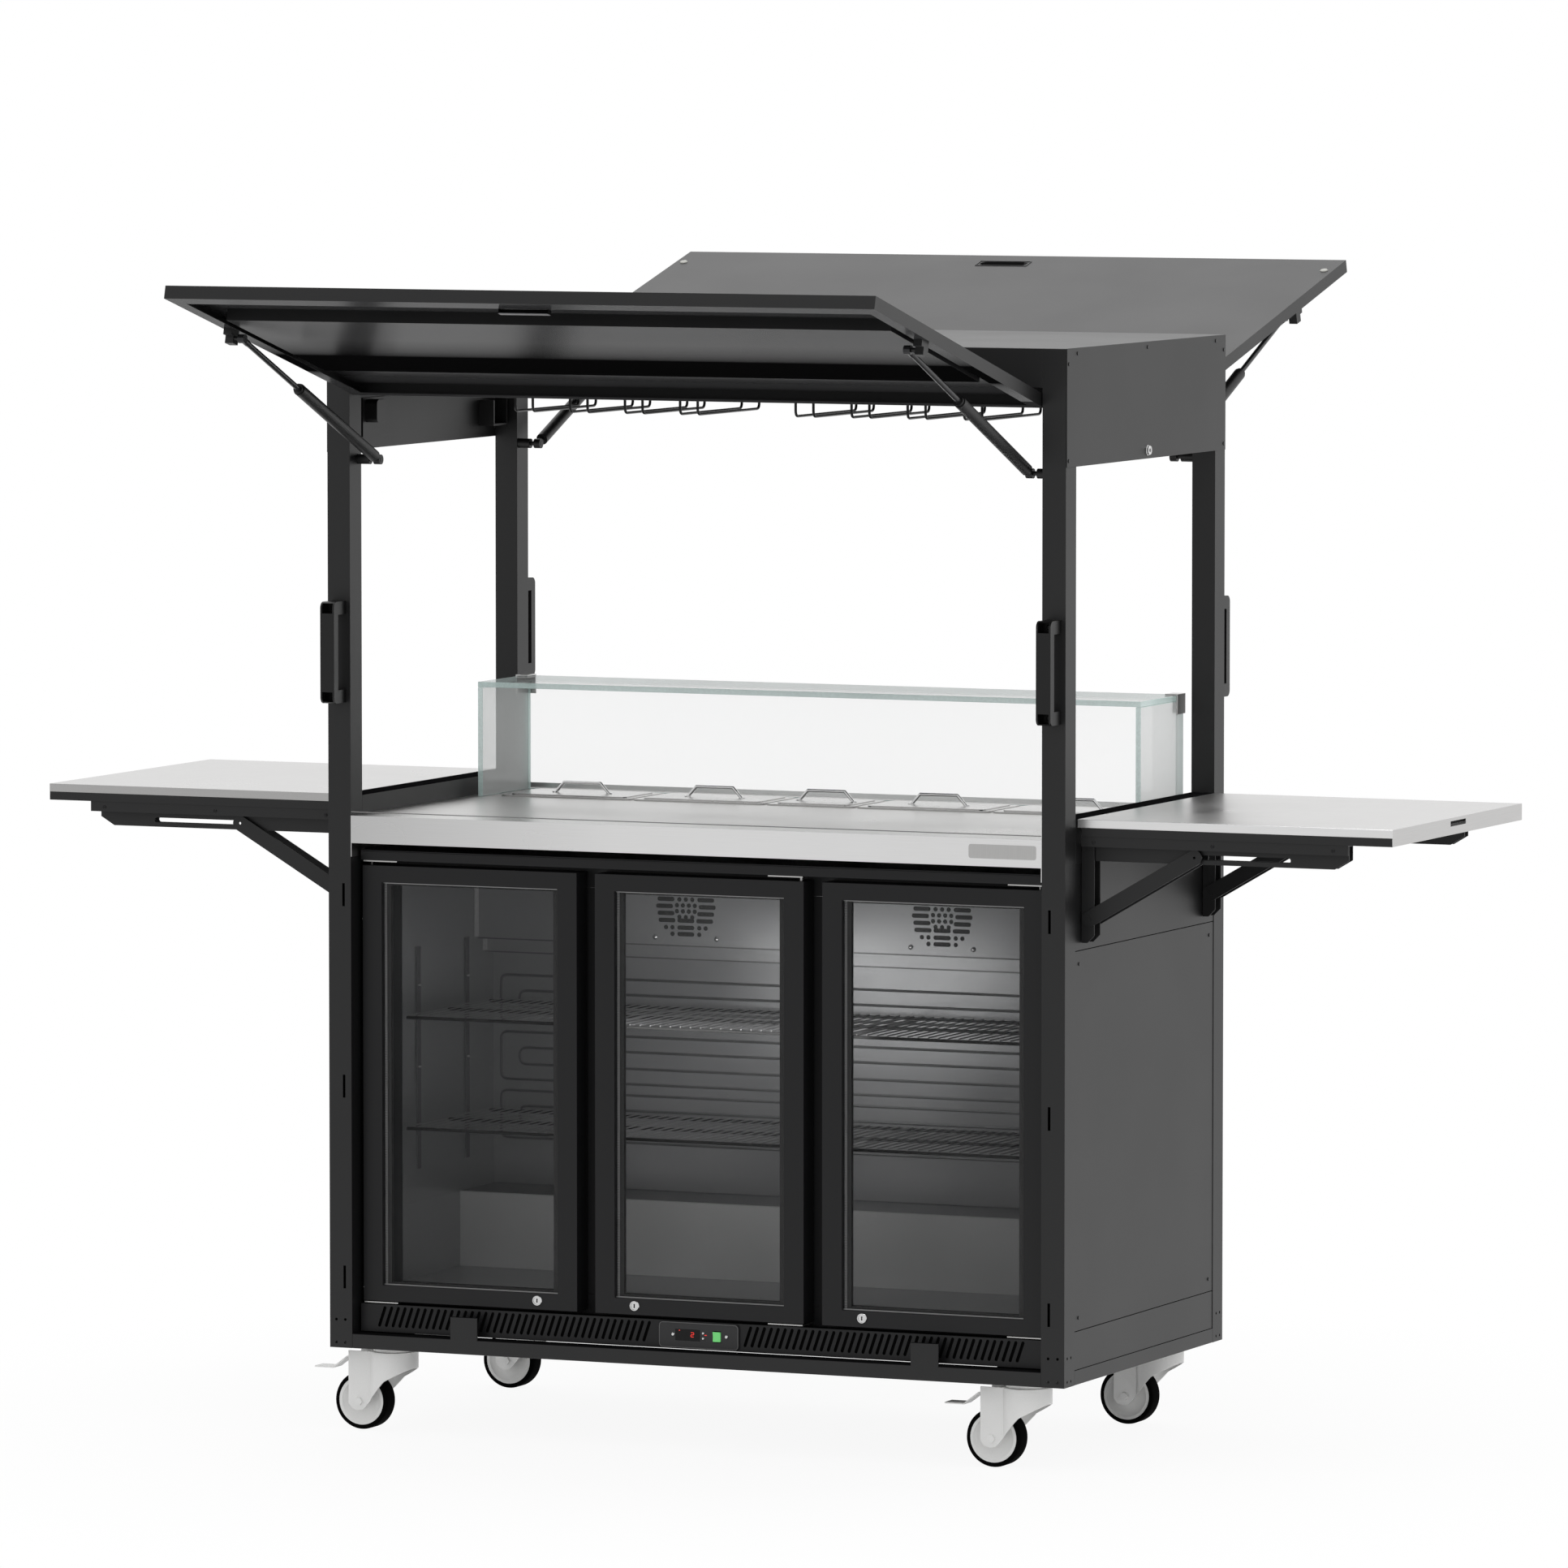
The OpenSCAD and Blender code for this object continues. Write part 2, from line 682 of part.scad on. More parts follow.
module panel_screws() color(black) {
  x = hw + sheet;
  both_x() {
    both_y() {
      pin_x(x, x + 1.2, -hd + 50, body_h - 10, 3.4);
      pin_x(x, x + 1.2, -hd + 10, body_h - 27.5, 3.4);
      pin_x(x, x + 1.2, -hd + 10, fascia_bot + 11.5, 3.4);
      for (z = [rail_top + 92, worktop_z - 224]) {
        pin_x(hw - 1, hw + 0.4, -inner_y + 20, z, 3.2);
      }
    }
    pin_x(x, x + 1.2, 0, body_h - 10, 3.4);
  }
}

module power_boxes() color(black) {
  x = -hw;
  y0 = -inner_y + 92;
  y1 = inner_y - 70;
  bar(x, x + 4, y0, y0 + 104, fascia_bot + 22, fascia_bot + 93);
  push_x(x + 4, x + 28) translate([y0 + 30, fascia_bot + 69]) rounded(42, 42, 9);
  difference() {
    bar(x, x + 30, y1, y1 + 60, fascia_bot + 22, fascia_bot + 70);
    bar(x + 3, x + 31, y1 + 4, y1 + 56, fascia_bot + 26, fascia_bot + 71);
  }
}

// One glass rail: two wires joined at the front, hung by four upright ends
module glass_rail(x) {
  r = 2.5;
  z0 = ceil_bot - 33;
  w = rack_w;
  y = 137;
  for (s = [0, 1]) {
    pin_y(x + s * w, -y, y, z0, r);
    for (e = [-1, 1]) {
      pin_z(x + s * w, e * y, z0, ceil_bot, r);
      translate([x + s * w, e * y, z0]) sphere(r);
    }
  }
}

module glass_racks() color(black) {
  for (s = [-1, 1], i = [0 : 3]) {
    x = s < 0 ? -rack_in - 3 * rack_pitch - rack_w : rack_in;
    glass_rail(x + i * rack_pitch);
  }
}

// Handles

module one_handle() {
  h = handle_h;
  o = handle_out;
  z = worktop_z + 206;
  difference() {
    push_x(inner_x + post_w / 2 - 14, inner_x + post_w / 2 + 14) {
      translate([-hd, z]) difference() {
        union() {
          translate([-o, 12]) square([o, h - 24]);
          translate([-o + 12, 0]) square([o - 12, h]);
          translate([-o + 12, 12]) circle(12);
          translate([-o + 12, h - 12]) circle(12);
        }
        translate([-o + 17, 24]) square([o, h - 48]);
      }
    }
    for (e = [0, 1]) {
      bar(inner_x + post_w / 2 - 10.5, inner_x + post_w / 2 + 10.5, -hd - o - 1, -hd - o + 30,
        z + (e < 1 ? 3 : h - 21), z + (e < 1 ? 21 : h - 3));
    }
  }
}

module push_handles() color(black) {
  both_x() both_y() one_handle();
}

// Flaps: drawn shut about the pivot, then swung up by flap_turn

module swung() {
  translate([0, piv_y, piv_z]) rotate([-flap_turn, 0, 0]) {
    translate([0, -piv_in, piv_down]) children();
  }
}

module flap_shut() {
  l = flap_len;
  x = flap_x;
  f = flap_t;
  difference() {
    bar(-x, x, 0, f, -l, 0);
    bar(-x + sheet, x - sheet, sheet, f - sheet, -l + sheet, -sheet);
    bar(-x + side_lip, x - side_lip, f - sheet - 1, f + 1, -l + lip_w, -16);
    translate([0, -1, -pull_s]) rotate([-90, 0, 0]) linear_extrude(sheet + 2) stadium(97, 22);
  }
  difference() {
    bar(-x + 40, x - 40, sheet, f, -pan_s1, -pan_s0);
    bar(-x + 41.5, x - 41.5, sheet - 1, f - sheet, -pan_s1 + sheet, -pan_s0 - sheet);
  }
  difference() {
    translate([0, sheet, -pull_s]) rotate([-90, 0, 0]) linear_extrude(17) stadium(105, 30);
    translate([0, sheet - 1, -pull_s]) rotate([-90, 0, 0]) linear_extrude(16) stadium(97, 22);
  }
  both_x() {
    pin_x(x - 3, inner_x + 8, piv_in, -piv_down, piv_r);
    difference() {
      bar(strut_x + 15, strut_x + 31, f, stud_t + 9, -stud_s - 15, -stud_s + 15);
      bar(strut_x + 14, strut_x + 32, f + 12, stud_t + 10, -stud_s - 16, -stud_s - 5);
    }
    pin_x(strut_x + 7, strut_x + 15, stud_t, -stud_s, 4);
  }
}

module flap_front() color(black) swung() flap_shut();
module flap_rear() color(black) mirror([0, 1, 0]) swung() flap_shut();

// Gas struts, drawn lying along +Y from the anchor and then turned to the open angle

module strut_turn() {
  translate([0, anchor_y, anchor_z]) rotate([strut_ang, 0, 0]) children();
}

module one_anchor() {
  pin_x(strut_x + 15, inner_x, anchor_y, anchor_z, 9);
  pin_x(strut_x - 7, strut_x + 15, anchor_y, anchor_z, anchor_r);
}

module strut_anchors() color(black) {
  both_x() both_y() one_anchor();
}

module one_tube() {
  strut_turn() difference() {
    union() {
      pin_x(strut_x - 6.5, strut_x + 6.5, 0, 0, 9);
      pin_y(strut_x, 6, 20, 0, 6);
      pin_y(strut_x, 18, tube_len, 0, tube_d / 2);
      pin_y(strut_x, tube_len, tube_len + 6, 0, tube_d / 2 - 2);
    }
    pin_x(strut_x - 8, strut_x + 8, 0, 0, anchor_r + fit);
    pin_y(strut_x, 26, tube_len + 7, 0, rod_d / 2 + fit);
  }
}

module one_rod() {
  strut_turn() difference() {
    union() {
      pin_y(strut_x, tube_len - 100, strut_len - 5, 0, rod_d / 2);
      pin_y(strut_x, strut_len - 22, strut_len - 5, 0, 6);
      pin_x(strut_x - 6.5, strut_x + 6, strut_len, 0, 8);
    }
    pin_x(strut_x + 1, strut_x + 8, strut_len, 0, 4.5);
  }
}

module strut_tubes_front() color(black) both_x() one_tube();
module strut_tubes_rear() color(black) mirror([0, 1, 0]) both_x() one_tube();
module strut_rods_front() color(grey) both_x() one_rod();
module strut_rods_rear() color(grey) mirror([0, 1, 0]) both_x() one_rod();

// Casters: drawn at the swivel axis with the wheel trailing toward -X

module at_caster(sx, sy) {
  translate([sx * cast_x, sy * cast_y, 0]) children();
}

module caster_plates() color(zinc) {
  for (sx = [-1, 1], sy = [-1, 1]) at_caster(sx, sy) {
    bar(-50, 50, -42, 42, frame_z - plate_t, frame_z);
    pin_z(0, 0, ring_z, frame_z - plate_t, 38);
    pin_z(0, 0, head_z0 - 12, ring_z, king_r);
  }
}

module fork_plan(grow) {
  circle(head_r + grow);
  translate([-trail - 21, -cheek_in - cheek_t - grow]) {
    square([trail + 21, 2 * (cheek_in + cheek_t + grow)]);
  }
}

module fork() {
  a = trail;
  r = wheel_r;
  intersection() {
    translate([0, 0, r - 17]) linear_extrude(head_z1 - r + 17) difference() {
      fork_plan(0);
      circle(head_r - cheek_t);
      translate([-a - 22, -cheek_in]) square([a + 22, 2 * cheek_in]);
    }
    push_y(-head_r - 1, head_r + 1) {
      polygon([[-a - 21, head_z1], [-a - 21, r - 4], [-a - 14, r - 13], [-a - 3, r - 17],
        [-a + 9, r - 14], [-a + 19, r - 3], [0, r + 40], [head_r + 1, head_z0 - 22],
        [head_r + 1, head_z1]]);
    }
  }
  difference() {
    pin_z(0, 0, head_z0, head_z1, head_r);
    pin_z(0, 0, head_z0 - 1, head_z1 + 1, king_r + fit);
  }
  pin_y(-a, -cheek_in - cheek_t - 5, cheek_in + cheek_t + 5, r, axle_r);
  for (s = [-1, 1]) {
    translate([-a, s * (cheek_in + cheek_t + 2.5), r]) rotate([90, 0, 0]) {
      cylinder(r = 8, h = 5, center = true, $fn = 6);
    }
  }
}

module fork_braked() {
  fork();
  pin_y(pedal_x, -cheek_in - 1, cheek_in + 1, pedal_z, 3);
}

module wheel() {
  r = wheel_r;
  w = wheel_w / 2;
  translate([-trail, 0, r]) rotate([90, 0, 0]) {
    rotate_extrude($fn = 96) polygon([[r - 6.8, -w + 1], [r - 4, -w], [r, -w + 5], [r, w - 5], [r - 4, w],
      [r - 6.8, w - 1]]);
    rotate_extrude($fn = 96) polygon([[axle_r + fit, -w - 3], [13, -w - 3], [15, -w + 5], [28, -w + 7],
      [37, -w + 3], [r - 7, -w + 1], [r - 7, w - 1], [37, w - 3], [28, w - 7], [15, w - 5], [13, w + 3],
      [axle_r + fit, w + 3]]);
  }
}

module pedal() {
  push_y(-17, 17) difference() {
    union() {
      polygon([[pedal_x, pedal_z + 6], [-trail - 30, pedal_z - 2.5], [-trail - 58, pedal_z - 23.5],
        [-trail - 95, pedal_z - 23.5], [-trail - 95, pedal_z - 26], [-trail - 57.2, pedal_z - 26],
        [-trail - 29, pedal_z - 5.2], [pedal_x, pedal_z + 3]]);
      translate([pedal_x, pedal_z]) circle(6);
    }
    translate([pedal_x, pedal_z]) circle(3 + fit);
  }
}

module fork_front_left() color(zinc) at_caster(-1, -1) fork_braked();
module fork_front_right() color(zinc) at_caster(1, -1) fork_braked();
module fork_rear_left() color(zinc) at_caster(-1, 1) fork();
module fork_rear_right() color(zinc) at_caster(1, 1) fork();
module wheel_front_left() color(black) at_caster(-1, -1) wheel();
module wheel_front_right() color(black) at_caster(1, -1) wheel();
module wheel_rear_left() color(black) at_caster(-1, 1) wheel();
module wheel_rear_right() color(black) at_caster(1, 1) wheel();
module pedal_left() color(zinc) at_caster(-1, -1) pedal();
module pedal_right() color(zinc) at_caster(1, -1) pedal();

// Side shelves: the right one is drawn, the left one is its mirror

module shelf_legs() color(black) {
  y = leg_w / 2;
  z0 = brace_pz - 43;
  z1 = arm_pz + 16;
  both_x() both_y() translate([0, -brk_y, 0]) {
    bar(hw, hw + 3, -y + leg_t, y - leg_t, z0, z1);
    for (c = [-y, y - leg_t]) {
      push_y(c, c + leg_t) {
        polygon([[hw, z0], [hw + leg_d - 13, z0], [hw + leg_d, z0 + 13], [hw + leg_d, z1], [hw, z1]]);
      }
    }
    pin_y(arm_px, -y, y, arm_pz, pin_r);
    for (c = [-y - brace_t - 2 * gap, y - leg_t]) {
      pin_y(arm_px, c, c + leg_t + brace_t + 2 * gap, brace_pz, pin_r);
    }
  }
}

module arm_side() {
  difference() {
    union() {
      polygon([[arm_px, arm_bot], [arm_end - 27, arm_bot], [arm_end, arm_bot + 16], [arm_end, ring_bot],
        [arm_px - 8, ring_bot], [arm_px - 8, arm_pz]]);
      translate([arm_px, arm_pz]) circle(arm_r);
    }
    translate([arm_px, arm_pz]) circle(pin_r + fit);
    translate([arm_px + 284.5, slot_z]) stadium(191, 9);
  }
}

module shelf_frame() {
  y = arm_w / 2;
  difference() {
    bar(shelf_x0 + 8, shelf_x1 - skin, -shelf_d / 2, shelf_d / 2, ring_bot, ring_top);
    bar(shelf_x0 + 28, shelf_x1 - 22, -shelf_d / 2 + 20, shelf_d / 2 - 20, ring_bot - 1, ring_top + 1);
  }
  both_y() {
    for (c = [-y, y - leg_t]) push_y(-brk_y + c, -brk_y + c + leg_t) arm_side();
    bar(shelf_x0 + 6, arm_end + 8, -band_y, -brk_y + y, ring_bot - leg_t, ring_bot);
    bar(shelf_x0 + 6, arm_end + 8, -band_y, -band_y + leg_t, ring_bot - band_h, ring_bot - leg_t);
  }
}

module shelf_top() {
  difference() {
    bar(shelf_x0, shelf_x1, -shelf_d / 2, shelf_d / 2, ring_top, shelf_z);
    bar(shelf_x0 + skin, shelf_x1 - skin, -shelf_d / 2 + skin, shelf_d / 2 - skin,
      ring_top - 1, shelf_z - skin);
    bar(shelf_x1 - skin - 1, shelf_x1 + 1, -39, 39, shelf_z - 15, shelf_z - 6);
  }
  bar(shelf_x1 - skin, shelf_x1, -shelf_d / 2, shelf_d / 2, ring_bot, ring_top);
}

// Two plates on each bracket, outside the leg and the arm
module brace() {
  y = leg_w / 2 + gap;
  both_y() for (c = [-y - brace_t, y]) {
    translate([arm_px, -brk_y, brace_pz]) rotate([0, -brace_ang, 0]) push_y(c, c + brace_t) {
      difference() {
        translate([brace_len / 2, 0]) stadium(brace_len + brace_w, brace_w);
        circle(pin_r + fit);
        translate([brace_len, 0]) circle(2.5);
      }
    }
  }
}

module shelf_top_right() color(steel) shelf_top();
module shelf_top_left() color(steel) mirror([1, 0, 0]) shelf_top();
module shelf_frame_right() color(black) shelf_frame();
module shelf_frame_left() color(black) mirror([1, 0, 0]) shelf_frame();
module brace_right() color(black) brace();
module brace_left() color(black) mirror([1, 0, 0]) brace();

corner_posts();
base_frame();
body_panels();
worktop();
food_pans();
glass_guard();
glass_clamps();
cooler_shell();
cooler_liner();
shelf_set();
vent_grille();
controller_panel();
door_hinges();
roof_panel();
fascia_panels();
fascia_locks();
strut_anchors();
glass_racks();
push_handles();
caster_plates();
shelf_legs();
power_boxes();
panel_screws();
flap_front();
flap_rear();
strut_tubes_front();
strut_tubes_rear();
strut_rods_front();
strut_rods_rear();
door_left();
door_middle();
door_right();
glass_left();
glass_middle();
glass_right();
lock_left();
lock_middle();
lock_right();
rocker_switch();
fork_front_left();
fork_front_right();
fork_rear_left();
fork_rear_right();
wheel_front_left();
wheel_front_right();
wheel_rear_left();
wheel_rear_right();
pedal_left();
pedal_right();
shelf_top_left();
shelf_top_right();
shelf_frame_left();
shelf_frame_right();
brace_left();
brace_right();
lid(0);  // lid_1
lid(1);  // lid_2
lid(2);  // lid_3
lid(3);  // lid_4
lid(4);  // lid_5
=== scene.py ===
"""Looks of a mobile bar unit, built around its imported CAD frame."""

import json
import math
from functools import cache

import bmesh
import bpy
from bpy.props import FloatProperty, FloatVectorProperty, PointerProperty
from mathutils import Matrix, Vector


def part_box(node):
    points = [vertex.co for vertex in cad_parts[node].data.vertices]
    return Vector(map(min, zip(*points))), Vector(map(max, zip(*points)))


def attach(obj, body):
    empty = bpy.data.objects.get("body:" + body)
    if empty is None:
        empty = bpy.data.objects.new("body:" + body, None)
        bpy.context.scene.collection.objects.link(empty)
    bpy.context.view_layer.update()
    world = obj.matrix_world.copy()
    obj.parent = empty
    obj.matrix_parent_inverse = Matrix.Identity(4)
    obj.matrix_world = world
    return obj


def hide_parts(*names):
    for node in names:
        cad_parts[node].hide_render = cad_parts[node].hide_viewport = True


bl_info = {
    "name": "Mobile bar unit",
    "version": (1, 0, 0),
    "blender": (4, 5, 0),
    "location": "3D View > Sidebar > Bar Unit",
    "description": "Dresses the packed bar unit with its finishes and small parts",
    "category": "Object",
}

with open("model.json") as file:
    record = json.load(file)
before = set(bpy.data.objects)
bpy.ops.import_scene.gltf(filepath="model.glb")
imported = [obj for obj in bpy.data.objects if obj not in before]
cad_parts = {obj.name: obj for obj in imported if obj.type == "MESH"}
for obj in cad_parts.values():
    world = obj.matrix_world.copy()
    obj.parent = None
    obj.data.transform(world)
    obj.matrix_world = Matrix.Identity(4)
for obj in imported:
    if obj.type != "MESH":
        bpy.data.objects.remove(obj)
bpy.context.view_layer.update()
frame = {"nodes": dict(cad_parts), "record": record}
RECORD = frame["record"]
BODY_OF = {node: body for body, nodes in RECORD["behaviour"]["bodies"].items() for node in nodes}
SLOT_OF = {part["node"]: part["material_slot"] for part in RECORD["subparts"]}
JOINTS = {joint["name"]: joint for joint in RECORD["behaviour"]["joints"]}
MM = 0.001
ENDS = (("left", -1), ("right", 1))
FRONT = Vector((0, -1, 0))
UP = Vector((0, 0, 1))


def colour(name, text, value):
    return FloatVectorProperty(name=name, description=text, subtype="COLOR", size=3, min=0, max=1,
                               default=value)


def length(name, text, value):
    return FloatProperty(name=name, description=text, unit="LENGTH", subtype="DISTANCE", min=0,
                         default=value * MM)


class BarFinishes(bpy.types.PropertyGroup):
    """Colours of the finishes."""
    coat: colour("Coat", "Powder coat of the frame and panels", (0.008, 0.008, 0.0084))
    pan: colour("Flap inside", "Coat of the flaps' inside", (0.04, 0.04, 0.041))
    door: colour("Door coat", "Black coat of the door frames and grille", (0.008, 0.008, 0.0088))
    steel: colour("Steel", "Brushed steel of the worktop and lids", (0.60, 0.596, 0.588))
    shelf: colour("Shelf steel", "Brushed steel of the side shelves", (0.54, 0.535, 0.53))
    # A lighter copy of the brushed steel, painted light on the front faces of the worktop and the right
    # shelf.
    front: colour("Front steel", "Brushed steel of the front edges", (1.0, 0.996, 0.99))
    chrome: colour("Chrome", "Locks and bright screws", (0.74, 0.74, 0.74))
    zinc: colour("Zinc", "Bright plating of the casters", (0.87, 0.87, 0.86))
    hub: colour("Hub", "Plastic of the wheel hubs", (0.84, 0.84, 0.83))
    rubber: colour("Tyre", "Rubber of the caster wheels", (0.003, 0.003, 0.003))
    plastic: colour("Plastic", "Black plastic of the handles", (0.005, 0.005, 0.0052))
    plate: colour("Control plate", "Grey plastic of the control plate", (0.036, 0.036, 0.037))
    liner: colour("Liner", "Sheet of the cooler's inside", (0.50, 0.505, 0.51))
    wire: colour("Shelf wire", "Coated wire of the cooler shelves", (0.50, 0.50, 0.505))
    pane: colour("Door pane", "Tint of the door glass", (0.010, 0.0105, 0.011))
    # The guard pane's pale colour is a painted reflection, with a faint green tint of the glass.
    clear: colour("Guard pane", "Tint of the guard's glass", (0.97, 1.0, 0.99))
    edge: colour("Guard edge", "Tint of the cut edges of the guard", (0.70, 0.88, 0.85))
    lit: colour("Rocker", "Lit green of the rocker switch", (0.13, 0.52, 0.15))
    digit: colour("Digit", "Lit red of the display", (0.80, 0.030, 0.022))


class BarSizes(bpy.types.PropertyGroup):
    """Sizes of the small parts."""
    fold: length("Sheet fold", "Radius of a folded sheet edge", 1.2)
    frame_edge: length("Door edge", "Radius of a door frame's edge", 1.6)
    grip_edge: length("Grip edge", "Radius of a handle's edge", 2.4)
    wire: length("Shelf wire", "Diameter of a cooler shelf's wire", 2.6)
    rim: length("Shelf rim", "Diameter of a cooler shelf's rim", 6.0)
    wire_step: length("Wire step", "Distance between the wires of a cooler shelf", 20.0)
    sheet: length("Glass sheet", "Thickness of one sheet of a door pane", 4.0)
    spacer: length("Spacer", "Width of the spacer between the sheets of a pane", 13.0)
    rack: length("Rack wire", "Diameter of a glass rack's wire", 5.0)
    rack_bend: length("Rack bend", "Bend radius of a glass rack's wire", 11.0)
    screw: length("Screw head", "Diameter of a small screw head", 6.4)
    bumper: length("Bumper", "Diameter of a flap's corner bumper", 15.0)


class BarStage(bpy.types.PropertyGroup):
    """Camera, floor and light."""
    lens: FloatProperty(name="Lens", description="Focal length of the camera", unit="CAMERA", default=256.611)
    place: FloatVectorProperty(name="Place", description="Place of the camera", subtype="TRANSLATION", size=3,
                               unit="LENGTH", default=(8.23834, -18.58311, 2.74433))
    yaw: FloatProperty(name="Yaw", description="Turn of the camera to the right side", subtype="ANGLE",
                       default=0.41669)
    pitch: FloatProperty(name="Pitch", description="Tilt of the camera below level", subtype="ANGLE",
                         default=0.07671)
    floor: colour("Floor", "Colour of the floor", (0.90, 0.90, 0.90))
    shade: FloatProperty(name="Shade", description="How much of its shade the floor keeps", subtype="FACTOR",
                         default=0.08, min=0, max=1)
    sky: FloatProperty(name="Sky", description="Strength of the studio surround", default=0.80, min=0)
    front: FloatProperty(name="Front", description="Strength of the surround on the camera's side in mirrors",
                         default=0.66, min=0)


def looks():
    return bpy.context.scene.bar_finishes


def sizes():
    return bpy.context.scene.bar_sizes


# Finishes

FINISHES = {}
FINE_DETAIL = 2.0
SLOW_DETAIL = 3.0
LEAST_ROUGH = 0.02
BUMP_DEPTH = 0.15 * MM


def grey(value):
    return (value, value, value)


def join(tree, a, b):
    tree.links.new(a, b)


def coords(tree):
    return tree.nodes.new("ShaderNodeTexCoord").outputs["Object"]


def shader_of(mat):
    return mat.node_tree.nodes["Principled BSDF"]


def noise(tree, source, scale, detail):
    node = tree.nodes.new("ShaderNodeTexNoise")
    node.inputs["Scale"].default_value = scale
    node.inputs["Detail"].default_value = detail
    join(tree, source, node.inputs["Vector"])
    return node.outputs["Fac"]


def span(tree, value, low, high, start=0.3, end=0.7):
    """Goes from low to high while the value goes from start to end."""
    node = tree.nodes.new("ShaderNodeMapRange")
    node.inputs["From Min"].default_value = start
    node.inputs["From Max"].default_value = end
    node.inputs["To Min"].default_value = low
    node.inputs["To Max"].default_value = high
    join(tree, value, node.inputs["Value"])
    return node.outputs["Result"]


def maths(tree, operation, a, b):
    node = tree.nodes.new("ShaderNodeMath")
    node.operation = operation
    join(tree, a, node.inputs[0])
    join(tree, b, node.inputs[1])
    return node.outputs[0]


def two_tone(tree, factor, a, b):
    node = tree.nodes.new("ShaderNodeMix")
    node.data_type = "RGBA"
    node.inputs["A"].default_value = [*a, 1]
    node.inputs["B"].default_value = [*b, 1]
    join(tree, factor, node.inputs["Factor"])
    return node.outputs["Result"]


def surface(name, tone, rough, grain=900.0, stretch=(1, 1, 1), bump=0.1, patch=5.0, spread=0.06, shift=0.12,
            **sockets):
    """A finish with a fine grain in its bump and a slow change of colour and roughness."""
    if name in FINISHES:
        return FINISHES[name]
    mat = bpy.data.materials.new(name)
    mat.use_nodes = True
    tree = mat.node_tree
    shader = shader_of(mat)
    coord = coords(tree)
    turn = tree.nodes.new("ShaderNodeMapping")
    turn.inputs["Scale"].default_value = stretch
    join(tree, coord, turn.inputs["Vector"])
    fine = noise(tree, turn.outputs["Vector"], grain, FINE_DETAIL)
    slow = noise(tree, coord, patch, SLOW_DETAIL)
    mixed = maths(tree, "ADD", span(tree, fine, 0.0, 0.5), span(tree, slow, 0.0, 0.5))
    dark = [c * (1 - shift) for c in tone]
    pale = [min(1, c * (1 + shift)) for c in tone]
    join(tree, two_tone(tree, mixed, dark, pale), shader.inputs["Base Color"])
    dull = span(tree, slow, max(LEAST_ROUGH, rough - spread), min(1, rough + spread))
    join(tree, dull, shader.inputs["Roughness"])
    lift = tree.nodes.new("ShaderNodeBump")
    lift.inputs["Strength"].default_value = bump
    lift.inputs["Distance"].default_value = BUMP_DEPTH
    join(tree, fine, lift.inputs["Height"])
    join(tree, lift.outputs["Normal"], shader.inputs["Normal"])
    for key, value in sockets.items():
        shader.inputs[key.replace("_", " ")].default_value = value
    FINISHES[name] = mat
    return mat


def ramp(tree, axis, stops):
    """A value that goes from stop to stop along an axis, out from the middle where the stops start there."""
    parts = tree.nodes.new("ShaderNodeSeparateXYZ")
    join(tree, coords(tree), parts.inputs[0])
    place = parts.outputs[axis]
    low, high = stops[0][0], stops[-1][0]
    if low >= 0:
        size = tree.nodes.new("ShaderNodeMath")
        size.operation = "ABSOLUTE"
        join(tree, place, size.inputs[0])
        place = size.outputs[0]
    node = tree.nodes.new("ShaderNodeValToRGB")
    join(tree, span(tree, place, 0.0, 1.0, low, high), node.inputs["Fac"])
    marks = node.color_ramp.elements
    for at, _ in stops[1:-1]:
        marks.new((at - low) / (high - low))
    for mark, (_, value) in zip(marks, stops):
        mark.color = (*grey(value), 1)
    return node.outputs["Color"]


def across(mat, axis, stops):
    """Scales a finish's colour along an axis."""
    tree = mat.node_tree
    tint = shader_of(mat).inputs["Base Color"]
    shade = tree.nodes.new("ShaderNodeMix")
    shade.data_type = "RGBA"
    shade.blend_type = "MULTIPLY"
    shade.inputs["Factor"].default_value = 1.0
    join(tree, tint.links[0].from_socket, shade.inputs["A"])
    join(tree, ramp(tree, axis, stops), shade.inputs["B"])
    join(tree, shade.outputs["Result"], tint)
    return mat


def coat():
    return surface("powder_coat", looks().coat, 0.44, grain=1300, bump=0.12, spread=0.012, shift=0.08,
                   IOR=1.48)


@cache
def shaded_pan_coat():
    """Coat of a flap's inside, with painted shade and a painted sheen along Y: a glossy panel that goes dark
    and dull toward the hinge, and a glossy flange there.
    """
    mat = surface("shaded_pan_coat", looks().pan, 0.24, grain=1300, bump=0.06, patch=1.4, spread=0.03, shift=0.15,
                  IOR=1.085)
    tree = mat.node_tree
    # Painted sheen: the specular level is laid out along Y to stand in for reflections.
    painted_sheen = ((0.416, 0.0), (0.42, 0.5), (0.46, 0.5), (0.56, 0.0), (0.69, 0.0), (0.82, 0.47), (0.96, 0.5))
    join(tree, ramp(tree, "Y", painted_sheen), shader_of(mat).inputs["Specular IOR Level"])
    # Painted shade: the colour darkens in a band toward the hinge.
    return across(mat, "Y", ((0.54, 1.0), (0.56, 0.1), (0.69, 0.1), (0.82, 0.95), (0.96, 1.0)))


def dull_coat():
    return surface("dull_coat", looks().coat, 0.8, grain=1300, bump=0.12, IOR=1.0)


def door_coat():
    return surface("door_coat", looks().door, 0.40, grain=1500, bump=0.06, spread=0.015, shift=0.08, IOR=1.38)


def plastic():
    return surface("black_plastic", looks().plastic, 0.36, grain=2200, IOR=1.42)


def plate_plastic():
    return surface("plate_plastic", looks().plate, 0.45, grain=1800, IOR=1.35)


